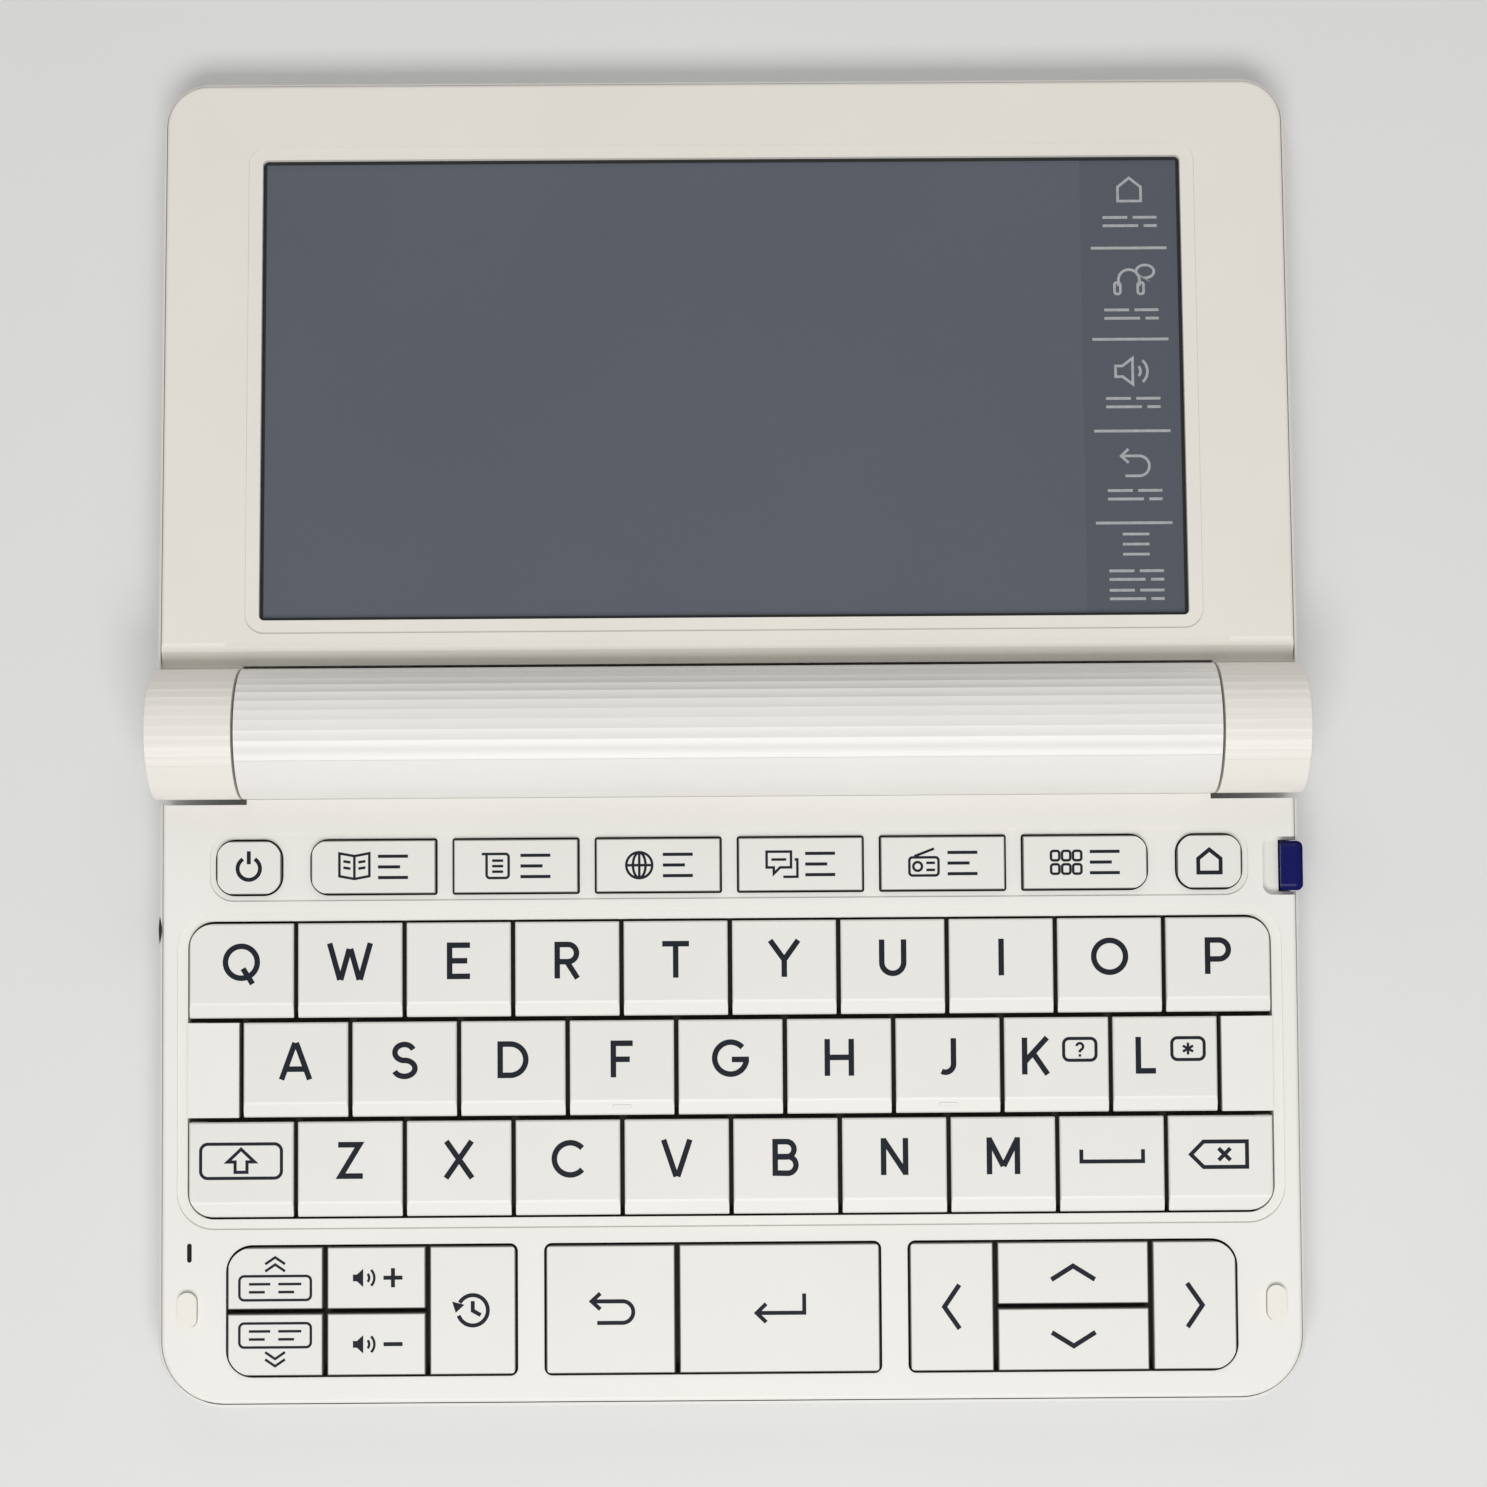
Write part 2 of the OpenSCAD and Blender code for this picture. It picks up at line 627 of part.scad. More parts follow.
module speaker_slots() {
    for (i = [-3:3]) {
        reach = slot_reach * cos(i * 20);
        translate([-speaker_x + i * slot_pitch, -speaker_y]) up(0, floor_z + over)
            round_rect(-slot_w / 2, -reach, slot_w / 2, reach, same(slot_w / 2 - fit_gap));
    }
}

jack_z = under_z + jack_h;
port_z0 = under_z + under_round + seat_gap;
port_hinge_x = half_w - port_t / 2;
port_hinge_y = -port_rear - port_len + port_t / 2 + part_gap;
module bottom_case_body() {
    difference() {
        union() {
            difference() {
                slab(half_w, -base_reach, -rear_y, base_corner, under_z, panel_z, under_round, rim_round);
                // pocket for the keyboard panel and room inside
                slab(rim_in, -base_reach + front_rim_w, -rear_y + base_corner, base_corner - rim_w,
                    ledge_z, panel_z + over, pocket_round, pocket_round);
                slab(half_w - wall, -base_reach + wall, -rear_y - wall, base_corner - wall,
                    floor_z, panel_z + over, inner_round, inner_round);
            }
            // the barrel and the wall that carries it
            along_x(-barrel_half, barrel_half) translate([0, axis_z]) barrel_section(0);
            translate([-barrel_half, -rear_y - wall, under_z])
                cube([barrel_len, rear_y + wall - barrel_r / 2, ledge_z - under_z]);
            pen_guides();
            board_posts();
        }
        bay_cut();
        translate([0, 0, axis_z]) pin_bores(pin_r + pin_clear, pin_end_gap);
        head_notch(floor_z);
        // pen slot through the right wall
        along_x(half_w - wall - head_len, half_w + over) pen_section(pen_clear);
        // port opening
        translate([half_w - wall - over, -port_rear - port_len, port_z0])
            cube([wall + 2 * over, port_len, port_h]);
        // earphone jack opening
        translate([0, -jack_y, jack_z]) rod(-half_w - over, -half_w + wall + over, jack_r + fit_gap);
        speaker_slots();
    }
}
pin_end_gap = 0.2;
module bottom_case() {
    color(barrel_white) translate([0, hinge_y, 0]) bottom_case_body();
}

// Lower half of the barrel, with a flat front that runs on from the underside of the case.
door_ramp = 4;
module battery_door() {
    half = bay_half - door_gap;
    ramp_y = door_ramp - door_flat;
    color(barrel_white) translate([0, hinge_y, 0]) along_x(-half, half) difference() {
        union() {
            intersection() {
                translate([0, axis_z]) barrel_section(0);
                translate([-cell_r, 0]) square([cell_r + barrel_r + over, door_rear_z]);
            }
            polygon([
                [-door_front, door_front_z], [-door_front, under_z], [-door_flat, under_z],
                [ramp_y, axis_z - barrel_r + part_gap], [ramp_y, door_front_z]]);
        }
        translate([0, axis_z]) circle(cell_r, $fn = 2 * arc);
        translate([-door_front - over, door_front_z]) square([door_front + over, barrel_r]);
    }
}

// Two cells in line, both with the stud to the right, resting on the door and as long as the
// bay leaves between the contacts.
stud_r = 2.75;
stud_len = 1;
cell_len = bay_half - contact_len - stud_len - 2 * fit_gap;
module batteries() {
    color("slategray") translate([0, hinge_y, axis_z - cell_room + eps])
        for (x = [-cell_len - stud_len - fit_gap, 0]) {
            translate([x, 0, 0]) rod(0, cell_len, cell_d / 2);
            translate([x, 0, 0]) rod(cell_len - eps, cell_len + stud_len, stud_r);
        }
}

module hinge_pins() {
    color("silver") translate([0, hinge_y, axis_z]) pin_bores(pin_r, 0);
}

// Board and key mat, and what is soldered to the board or wired to it.
board_in = 4;
board_front = 5;
board_gap = 0.85;
board_corner = 5;
board_half = half_w - wall - board_in;
mat_border = 0.75;
mat_corner = 6;
module circuit_board() {
    color("darkslategray") translate([0, hinge_y, 0]) {
        difference() {
            up(board_under_z, board_z)
                round_rect(-board_half, -base_reach + board_front, board_half, -pen_y - pen_run - board_gap,
                    [board_corner, board_corner, mild, mild]);
            jack_room();
        }
        difference() {
            up(board_z, mat_z)
                round_rect(letter_x - mat_border, cluster_front - mat_border, -letter_x + mat_border,
                    -func_rear + mat_border, [mat_corner, mat_corner, mild, mild]);
            jack_room();
        }
        earphone_jack();
        port_sockets();
        // loudspeaker over its slots
        translate([-speaker_x, -speaker_y, floor_z])
            cylinder(r = speaker_r, h = board_under_z - floor_z, $fn = arc);
        battery_contacts();
    }
}

// Collar in the case wall and contact block behind it.
collar_sunk = 0.1;
collar_in = 1.5;
jack_block = [11, 6];
block_x = -half_w + wall + collar_in;
module earphone_jack() {
    difference() {
        union() {
            translate([0, -jack_y, jack_z]) rod(-half_w + collar_sunk, block_x, jack_r);
            translate([block_x - eps, -jack_y - jack_block[1] / 2, floor_z])
                cube([jack_block[0], jack_block[1], mat_z - seat_gap - floor_z]);
        }
        translate([0, -jack_y, jack_z]) rod(-half_w - over, -half_w + jack_depth, jack_bore);
    }
}
module jack_room() {
    w = jack_block[1] / 2 + inner_round;
    translate([-half_w, -jack_y - w, 0])
        cube([block_x + half_w + jack_block[0] + inner_round, 2 * w, panel_z]);
}

// Cable socket and card socket behind the port cover, hung under the board.
socket = [6.6, 6];
socket_inset = 2;
socket_mouth = [2, 4.8, 0.8];
socket_places = [4, 11];
module port_sockets() {
    z0 = port_z0 - seat_gap;
    front_x = half_w - socket_inset;
    for (y = socket_places)
        difference() {
            translate([front_x - socket[0], -port_rear - y - socket[1] / 2, z0])
                cube([socket[0], socket[1], board_under_z - z0]);
            translate([front_x - socket_mouth[0], -port_rear - y - socket_mouth[1] / 2, port_z0 + seat_gap])
                cube([socket_mouth[0] + over, socket_mouth[1], socket_mouth[2]]);
        }
}

// A plate with a raised middle at each end of the battery bay.
contact_t = 0.4;
module battery_contacts() {
    translate([0, 0, axis_z]) both_sides() {
        rod(bay_half - contact_t, bay_half, contact_r);
        rod(bay_half - contact_len, bay_half - contact_t + eps, contact_r / 2);
    }
}

pen_corner = 1.1;
module pen_section(grow) {
    w = pen_w / 2 + grow;
    z0 = floor_z + pen_clear - grow;
    round_rect(-pen_y - w, z0, -pen_y + w, z0 + pen_h + 2 * grow, same(pen_corner + grow));
}

// Flat barrel with a stylus tip, and a head that fills its notch in the case's right side.
tip_len = 4;
tip_r = 0.6;
neck_r = 1.1;
head_in = 1;
head_corner = 0.8;
module touch_pen() {
    z0 = floor_z + pen_clear;
    head_x = half_w - head_len;
    color("midnightblue") translate([0, hinge_y, 0]) {
        along_x(pen_tip_x + tip_len, head_x + head_in) pen_section(0);
        translate([pen_tip_x, -pen_y, z0 + pen_h / 2]) rotate([0, 90, 0])
            cylinder(r1 = tip_r, r2 = neck_r, h = tip_len + seat_gap, $fn = arc);
        up(z0, panel_z + fit_gap)
            round_rect(head_x, -pen_y - head_w / 2, half_w + head_proud, -pen_y + head_w / 2,
                [inner_round, head_corner, head_corner, inner_round]);
    }
}

// A flap that turns on a round front end.
module port_cover() {
    z0 = port_z0 + seat_gap;
    h = port_h - 2 * seat_gap;
    color(ivory) translate([0, hinge_y, 0]) {
        translate([port_hinge_x, port_hinge_y, z0]) cylinder(d = port_t, h = h, $fn = arc);
        translate([port_hinge_x - port_t / 2, port_hinge_y, z0])
            cube([port_t, -port_rear - part_gap - port_hinge_y, h]);
    }
}

// Four feet under the case and two cushions for the closed lid on the keyboard panel.
module rubber_pads() {
    color("dimgray") translate([0, hinge_y, 0]) both_sides() {
        for (y = [-base_reach + foot_in, -rear_y - foot_rear])
            translate([-half_w + foot_in, y, 0]) cylinder(r = foot_r, h = foot_h, $fn = arc);
        up(panel_z - cushion_seat, panel_z + cushion_h) cushion_outline(0);
    }
}

// Places a piece that is drawn flat about the hinge axis where the open lid lies.
module on_lid() {
    translate([0, hinge_y, axis_z]) rotate([-lean, 0, 0]) children();
}
module far_slab(half, near, far, r, z0, z1, eb, et) {
    mirror([0, 1, 0]) slab(half, -far, -near, r, z0, z1, eb, et);
}

// The back cover carries the knuckles, and the bezel lies on the ledge along its rim.
lid_root = 3;
foot_wall = 1.6;
module lid_back_cover() {
    color(ivory) on_lid() difference() {
        union() {
            difference() {
                far_slab(half_w, lid_root, lid_reach, lid_corner, back_z, face_z, under_round, rim_round);
                far_slab(rim_in, lid_root - over, lid_reach - rim_w, lid_corner - rim_w,
                    seat_z, face_z + over, pocket_round, pocket_round);
                far_slab(half_w - lid_wall, lid_foot + foot_wall, lid_reach - lid_wall, lid_corner - lid_wall,
                    cover_floor_z, face_z + over, inner_round, inner_round);
            }
            knuckles();
        }
        // room for the barrel, upright when the lid lies open, so that the battery door comes past
        rotate([lean, 0, 0]) translate([-knuckle_in, -lid_foot, -lid_foot])
            cube([2 * knuckle_in, 2 * lid_foot, 2 * lid_foot]);
        pin_bores(pin_r, 0);
    }
}

// The two faceted knuckles, with their outer ends rounded and their inner ends left long.
module knuckles() {
    reach = barrel_r + seat_gap;
    w = half_w - knuckle_in + over;
    both_sides() translate([-half_w, 0, 0]) intersection() {
        along_x(0, w) barrel_section(facet / 2);
        rotate([0, 90, 0]) rotate_extrude($fn = 2 * arc) {
            polygon([[0, 0], [reach - knuckle_round, 0], [reach, knuckle_round], [reach, w], [0, w]]);
            translate([reach - knuckle_round, knuckle_round]) circle(knuckle_round, $fn = arc);
        }
    }
}

window_x0 = -window_off - window_w / 2;
window_x1 = -window_off + window_w / 2;
glass_lap = 0.9;
module window_outline(grow, r) {
    round_rect(window_x0 - grow, window_near - grow,
        window_x1 + grow, window_near + window_h + grow, same(r));
}
module lid_bezel() {
    half = half_w - panel_in;
    color(ivory) on_lid() difference() {
        far_slab(half, barrel_r + inner_round, lid_reach - panel_in, lid_corner - panel_in,
            seat_z, face_z, pocket_round, edge_round);
        up(seat_z - over, face_z + over) window_outline(0, window_corner);
        up(face_z - step_depth, face_z + over) window_outline(step_border, window_corner + step_border);
        // room for the glass behind the lip
        up(seat_z - over, lip_z) window_outline(glass_lap + seat_gap, window_corner);
        // sloped foot, longer beside the knuckles
        along_x(-half_w, half_w) slope(foot_slope);
        both_sides() along_x(-half_w, -knuckle_in - slope_in) slope(foot_slope + foot_slope_end);
        rod(-knuckle_in, knuckle_in, lid_foot, 2 * arc);
    }
}
slope_in = 2;
slope_edge = 0.15;
module slope(length) {
    polygon([
        [lid_foot + length, face_z], [lid_foot + length, face_z + over], [0, face_z + over],
        [0, seat_z + slope_edge], [lid_foot, seat_z + slope_edge]]);
}

// Cover glass with the touch layer, and the display under it.
display_in = 1.5;
module screen_module() {
    color("darkslateblue") on_lid() {
        up(glass_z - glass_t, glass_z) window_outline(glass_lap, mild);
        up(cover_floor_z, glass_z - glass_t + eps) window_outline(-display_in, mild);
    }
}

bottom_case();
keyboard_panel();
battery_door();
batteries();
circuit_board();
touch_pen();
port_cover();
rubber_pads();
lid_back_cover();
lid_bezel();
screen_module();
hinge_pins();
for (k = KEYS) key(k);
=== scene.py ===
# Clamshell electronic dictionary, lying open on a pale table. Every size is a real one: metres in
# the scene, millimetres where a name ends in _MM or a legend is drawn.
import json
import math

import bpy
from mathutils import Matrix, Vector


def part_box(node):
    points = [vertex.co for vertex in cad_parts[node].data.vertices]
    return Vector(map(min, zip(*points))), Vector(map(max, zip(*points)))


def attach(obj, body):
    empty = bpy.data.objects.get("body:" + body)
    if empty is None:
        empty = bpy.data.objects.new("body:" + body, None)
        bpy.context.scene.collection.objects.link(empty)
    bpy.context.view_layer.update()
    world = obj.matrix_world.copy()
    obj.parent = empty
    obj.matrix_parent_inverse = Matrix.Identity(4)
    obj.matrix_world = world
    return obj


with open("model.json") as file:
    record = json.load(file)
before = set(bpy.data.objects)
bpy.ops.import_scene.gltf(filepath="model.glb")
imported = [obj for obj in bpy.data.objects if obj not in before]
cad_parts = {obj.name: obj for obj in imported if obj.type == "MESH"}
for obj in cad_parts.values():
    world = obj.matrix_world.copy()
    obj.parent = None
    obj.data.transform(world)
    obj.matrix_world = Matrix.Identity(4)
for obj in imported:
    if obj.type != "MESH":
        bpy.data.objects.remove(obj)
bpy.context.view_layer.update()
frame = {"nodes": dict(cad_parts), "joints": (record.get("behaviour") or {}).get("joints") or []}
nodes = frame["nodes"]
MM = 0.001

# Camera
# The photograph is taken from nearly straight above, a forearm's length over the table, with the
# picture turned a little. The lens takes in the open case and a margin of table round it.
camera = bpy.data.cameras.new("camera")
camera.sensor_width = 36
camera.lens = 70.07
camera_stand = bpy.data.objects.new("camera", camera)
camera_stand.location = Vector((0.76, -19.44, 376.35)) * MM
camera_stand.rotation_euler = [math.radians(angle) for angle in (2.814, -0.159, -0.392)]
bpy.context.scene.collection.objects.link(camera_stand)
bpy.context.scene.camera = camera_stand

# Lower case and battery door
# The base's tub carries the faceted battery barrel. It is moulded in a cool white ABS with a fine
# spark-eroded grain, and the door under the barrel is of the same resin.
EDGE_SOFT = 0.02 * MM


class Shade:
    """A value in a material's node tree, so that shader maths is written as arithmetic."""

    def __init__(self, tree, socket):
        self.tree = tree
        self.socket = socket

    def node(self, kind, settings=None, inputs=None, output=0):
        """One of the outputs of a new node with these inputs."""
        made = self.tree.nodes.new(kind)
        for name, value in (settings or {}).items():
            setattr(made, name, value)
        for name, value in (inputs or {}).items():
            if isinstance(value, Shade):
                self.tree.links.new(value.socket, made.inputs[name])
            else:
                made.inputs[name].default_value = value
        return Shade(self.tree, made.outputs[output])

    def maths(self, operation, *others):
        """A Math node whose first value is this one."""
        return self.node("ShaderNodeMath", {"operation": operation}, dict(enumerate((self, *others))))

    def __add__(self, other):
        return self.maths("ADD", other)

    def __sub__(self, other):
        return self.maths("SUBTRACT", other)

    def __rsub__(self, other):
        return self.node("ShaderNodeMath", {"operation": "SUBTRACT"}, {0: other, 1: self})

    def __mul__(self, other):
        return self.maths("MULTIPLY", other)

    __radd__ = __add__
    __rmul__ = __mul__

    def beyond(self, edge, soft=EDGE_SOFT):
        """0 below the edge and 1 above it, with a soft step."""
        return self.node("ShaderNodeMapRange", {"interpolation_type": "SMOOTHSTEP"},
                         {"Value": self, "From Min": edge - soft, "From Max": edge + soft})

    def between(self, low, high, soft=EDGE_SOFT):
        """1 between two edges and 0 outside them."""
        return self.beyond(low, soft) * (1 - self.beyond(high, soft))

    def noise(self, size, detail=2):
        """Cloudy variation whose patches are about this size."""
        return self.node("ShaderNodeTexNoise",
                         inputs={"Vector": self, "Scale": 1 / size, "Detail": detail})

    def bump(self, strength, distance, height):
        """The surface's direction where this height lies on it."""
        return self.node("ShaderNodeBump",
                         inputs={"Strength": strength, "Distance": distance, "Height": height})

    def axes(self):
        """The three coordinates of a vector."""
        split = self.tree.nodes.new("ShaderNodeSeparateXYZ")
        self.tree.links.new(self.socket, split.inputs[0])
        return [Shade(self.tree, socket) for socket in split.outputs]

    def mix(self, first, second):
        """A colour that turns from the first to the second as this value goes from 0 to 1."""
        return self.node("ShaderNodeMix", {"data_type": "RGBA"}, {0: self, 6: first, 7: second}, 2)


def paint(red, green, blue, tone=1.0):
    """A colour given as a screen shows it, from 0 to 255, made linear by the sRGB curve."""
    seen = [min(1, value * tone / 255) for value in (red, green, blue)]
    return [(v / 12.92 if v < 0.04045 else ((v + 0.055) / 1.055) ** 2.4) for v in seen] + [1]


def new_finish(name, **constants):
    """A material's shader, and the place on the piece that its patterns follow."""
    material = bpy.data.materials.new(name)
    material.use_nodes = True
    tree = material.node_tree
    shader = tree.nodes["Principled BSDF"]
    for socket, value in constants.items():
        shader.inputs[socket.replace("_", " ")].default_value = value
    place = tree.nodes.new("ShaderNodeTexCoord")
    return material, shader, Shade(tree, place.outputs["Object"])


def set_sockets(shader, **values):
    """Links what varies over the surface to the shader."""
    for socket, value in values.items():
        value.tree.links.new(value.socket, shader.inputs[socket.replace("_", " ")])


CLOUD = 18 * MM
CLOUD_TONE = 0.012
GRAIN_HEIGHT = 0.05


def moulded(name, colour, roughness, grain=0.22 * MM, painted_shade=None, relief=None):
    """Moulded plastic: a fine eroded grain, and a tone that drifts a little over the part.

    grain is the size of its specks, and GRAIN_HEIGHT their height as a share of that. dark is painted
    shade, where it takes the tone down to half, from 0 to 1, and relief a height in metres, both
    functions of the place.
    """
    material, shader, place = new_finish(name, IOR=1.5)
    cloud = place.noise(CLOUD)
    specks = place.noise(grain, 3)
    tone = cloud.mix(paint(*colour, 1 - CLOUD_TONE), paint(*colour, 1 + CLOUD_TONE))
    height = (GRAIN_HEIGHT * grain) * specks
    set_sockets(
        shader,
        Base_Color=painted_shade(place).mix(tone, paint(*colour, 0.5)) if painted_shade else tone,
        Roughness=roughness + 0.16 * (specks - 0.5) + 0.08 * (cloud - 0.5),
        Normal=place.bump(1, 1, height + relief(place) if relief else height))
    return material


# The facets of barrel and knuckles are a little hollow, over half a turn about the hinge.
hinge = next(joint for joint in frame["joints"] if joint["name"] == "lid_hinge")
axis_y, axis_z = hinge["pos_m"][1:]
FACETS_INNER = 8.15 * MM
FACETS_OUTER = 8.38 * MM
FACET_DEG = 9
FIRST_FACET_DEG = -63
FACETED_DEG = 180
FACET_SOFT_DEG = 0.3
HOLLOW = 0.05 * MM


def hollow_facets(place, turn=0):
    """Height of the facets' faces, which start at FIRST_FACET_DEG turned by some degrees."""
    y, z = place.axes()[1:]
    y, z = y - axis_y, z - axis_z
    angle = z.maths("ARCTAN2", y) * (180 / math.pi) - (FIRST_FACET_DEG + turn)
    radius = (y * y + z * z).maths("SQRT")
    across = (angle * (1 / FACET_DEG)).maths("FRACT") - 0.5
    faceted = (radius.between(FACETS_INNER, FACETS_OUTER)
               * angle.between(0, FACETED_DEG, FACET_SOFT_DEG))
    return faceted * across * across * (4 * HOLLOW)


def dress(material, *names):
    """Gives CAD nodes their finish."""
    for name in names:
        for slot in nodes[name].material_slots:
            slot.material = material


white_abs = moulded("cool_white_abs", (239, 237, 232), 0.36, relief=hollow_facets)
dress(white_abs, "bottom_case", "battery_door")

# Keyboard panel and port cover
# The panel snaps into the tub's rim. It is moulded in a warm ivory ABS. The walls of its wells carry
# painted shade low down between the caps, and so do those of the pockets for the lid's cushions.
# Heights and bounds of the painted shade in the wells and in the cushions' pockets.
WELL_SHADE_TOP = 7.66 * MM
WELL_SOFT = 0.05 * MM
WELL_SIDE = 66.5 * MM
POCKET_SHADE_TOP = 7.95 * MM
POCKET_SIDE = 70.3 * MM
POCKET_REAR = -69.5 * MM
POCKET_FRONT = -75.5 * MM


def painted_well_shade(place):
    """Painted shade: 1 low down between the caps and round the lid's cushions, and 0 over the panel."""
    x, y, z = place.axes()
    aside = x.maths("ABSOLUTE")
    well = (1 - z.beyond(WELL_SHADE_TOP, WELL_SOFT)) * (1 - aside.beyond(WELL_SIDE))
    pocket = aside.between(WELL_SIDE, POCKET_SIDE) * y.between(POCKET_FRONT, POCKET_REAR)
    return well + pocket * (1 - z.beyond(POCKET_SHADE_TOP))


dress(moulded("panel_ivory_abs", (239, 237, 231), 0.45, painted_shade=painted_well_shade), "keyboard_panel")
dress(moulded("ivory_abs", (238, 235, 228), 0.45), "port_cover")

# Lid shells
# The back cover carries the faceted knuckles, and the bezel ends in a slope at the hinge, whose low
# part carries painted shade, as the barrel shades it.
lean = math.radians(hinge["range_deg"][1] - 180)
FOOT_END = 10.5 * MM
FOOT_TOP = 0.65 * MM
FOOT_SHADE = 0.16


def lid_place(place):
    """Distance from the hinge axis along the lid, and height over the axis, at a place."""
    y, z = place.axes()[1:]
    y, z = y - axis_y, z - axis_z
    return y * math.cos(lean) - z * math.sin(lean), y * math.sin(lean) + z * math.cos(lean)


def painted_foot_shade(place):
    """Painted shade: FOOT_SHADE on the slope at the hinge, and 0 elsewhere."""
    along, up = lid_place(place)
    return FOOT_SHADE * (1 - along.beyond(FOOT_END)) * (1 - up.beyond(FOOT_TOP))


def knuckle_facets(place):
    """The knuckles' facets, half a facet out of step with the barrel's."""
    return hollow_facets(place, FACET_DEG / 2)


dress(moulded("bezel_ivory_abs", (236, 232, 223), 0.45, painted_shade=painted_foot_shade), "lid_bezel")
dress(moulded("cover_ivory_abs", (239, 236, 228), 0.4, relief=knuckle_facets), "lid_back_cover")

# Key caps
# Forty-eight shells of ivory ABS with a satin top, each on its own post over the rubber mat. Their
# skirts carry the painted shade of the wells, which reaches up the chamfers except on the letter keys,
# where the chamfers get only a faint painted shade.
EDGE_SHADE_TOP = 8.38 * MM
LETTERS_REAR = -22 * MM
LETTERS_FRONT = -63 * MM
LIP_SHADE = 0.1


def painted_key_shade(place):
    """Painted shade: the wells', and the low side of the chamfers too, faint on the letter keys."""
    y, z = place.axes()[1:]
    letters = y.between(LETTERS_FRONT, LETTERS_REAR)
    edges = (1 - z.beyond(EDGE_SHADE_TOP)) * (1 - (1 - LIP_SHADE) * letters)
    return painted_well_shade(place).maths("MAXIMUM", edges)


key_abs = moulded("key_ivory_abs", (235, 233, 227), 0.38, grain=0.16 * MM, painted_shade=painted_key_shade)
dress(key_abs, *sorted(name for name in nodes if name.startswith("key_")))

# Key legends
# Letters and signs are pad-printed in blue-black ink on the flat of each cap. They are drawn as
# strokes of one width, in millimetres about the sign's middle.
INK_MM = 0.03
STROKE_LIFT_MM = 0.001
STEP_DEG = 9
SHARPEST = 0.3


class Nib:
    """Draws signs with strokes of one width. Each stroke is a list of closed outlines."""

    def __init__(self, width):
        self.width = width

    def side(self, points, closed, distance):
        """The points moved sideways. A corner stays sharp, but moves no more than distance / SHARPEST."""
        moved = []
        for i, here in enumerate(points):
            back = points[i - 1] if i or closed else points[0]
            ahead = points[(i + 1) % len(points)] if i + 1 < len(points) or closed else points[-1]
            ways = [way.normalized() for way in (here - back, ahead - here) if way.length > 0]
            normals = [Vector((-way.y, way.x)) for way in ways]
            middle = sum(normals, Vector((0, 0))).normalized()
            moved.append(here + middle * distance / max(SHARPEST, middle.dot(normals[0])))
        return moved

    def line(self, *points, closed=False):
        """A stroke along the points."""
        points = [Vector(point) for point in points]
        left = self.side(points, closed, self.width / 2)
        right = self.side(points, closed, -self.width / 2)
        return [left, right] if closed else [left + right[::-1]]

    def curve(self, x, y, r, start, end, ry=None):
        """The points of an arc, from one angle to another. ry is its height where it isn't round."""
        steps = max(2, round(abs(end - start) / STEP_DEG))
        turns = [math.radians(start + (end - start) * i / steps) for i in range(steps + 1)]
        return [(x + r * math.cos(t), y + (ry or r) * math.sin(t)) for t in turns]

    def arc(self, *shape):
        """A stroke along a curve."""
        return self.line(*self.curve(*shape))

    def ring(self, x, y, r, ry=None):
        """A closed stroke round a circle or an ellipse."""
        return self.line(*self.curve(x, y, r, 0, 360 - STEP_DEG, ry), closed=True)

    def rounded(self, w, h, r, x=0, y=0):
        """A rectangle's outline with round corners."""
        corners = [(w / 2 - r, h / 2 - r, 0), (r - w / 2, h / 2 - r, 90),
                   (r - w / 2, r - h / 2, 180), (w / 2 - r, r - h / 2, 270)]
        return self.line(*[point for cx, cy, start in corners
                           for point in self.curve(x + cx, y + cy, r, start, start + 90)], closed=True)

    def solid(self, *points):
        """A filled shape."""
        return [[Vector(point) for point in points]]


def shifted(strokes, dx, dy, flip=1):
    """The same strokes in another place, and upside down where flip is -1."""
    return [[[Vector((p.x + dx, flip * p.y + dy)) for p in loop] for loop in stroke]
            for stroke in strokes]


def print_sign(name, strokes, place, ink, body):
    """Lays a sign's strokes on a flat, each a hair above the last, as one thin film of ink."""
    bpy.ops.object.select_all(action="DESELECT")
    for count, loops in enumerate(strokes):
        curve = bpy.data.curves.new(name, "CURVE")
        curve.dimensions = "2D"
        curve.fill_mode = "BOTH"
        curve.extrude = INK_MM / 2
        for loop in loops:
            spline = curve.splines.new("POLY")
            spline.points.add(len(loop) - 1)
            spline.use_cyclic_u = True
            for point, corner in zip(spline.points, loop):
                point.co = (corner.x, corner.y, 0, 1)
        stroke = bpy.data.objects.new(name, curve)
        bpy.context.scene.collection.objects.link(stroke)
        stroke.location.z = count * STROKE_LIFT_MM
        stroke.select_set(True)
        bpy.context.view_layer.objects.active = stroke
    bpy.ops.object.convert(target="MESH")
    if len(strokes) > 1:
        bpy.ops.object.join()
    sign = bpy.context.view_layer.objects.active
    bpy.ops.object.transform_apply(location=True, rotation=True, scale=True)
    sign.matrix_world = place @ Matrix.Scale(MM, 4)
    bpy.ops.object.transform_apply(location=True, rotation=True, scale=True)
    sign.name = name
    sign.data.materials.clear()
    sign.data.materials.append(ink)
    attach(sign, body)


def printed(name, colour, roughness):
    """Printing ink, a little uneven where the pad left it thinner."""
    material, shader, place = new_finish(name, IOR=1.3)
    wash = place.noise(0.6 * MM, 3)
    set_sockets(
        shader,
        Base_Color=wash.mix(paint(*colour, 0.9), paint(*colour, 1.12)),
        Roughness=roughness + 0.2 * (wash - 0.5))
    return material


key_ink = printed("blue_black_ink", (20, 25, 36), 0.55)
bold = Nib(0.7)

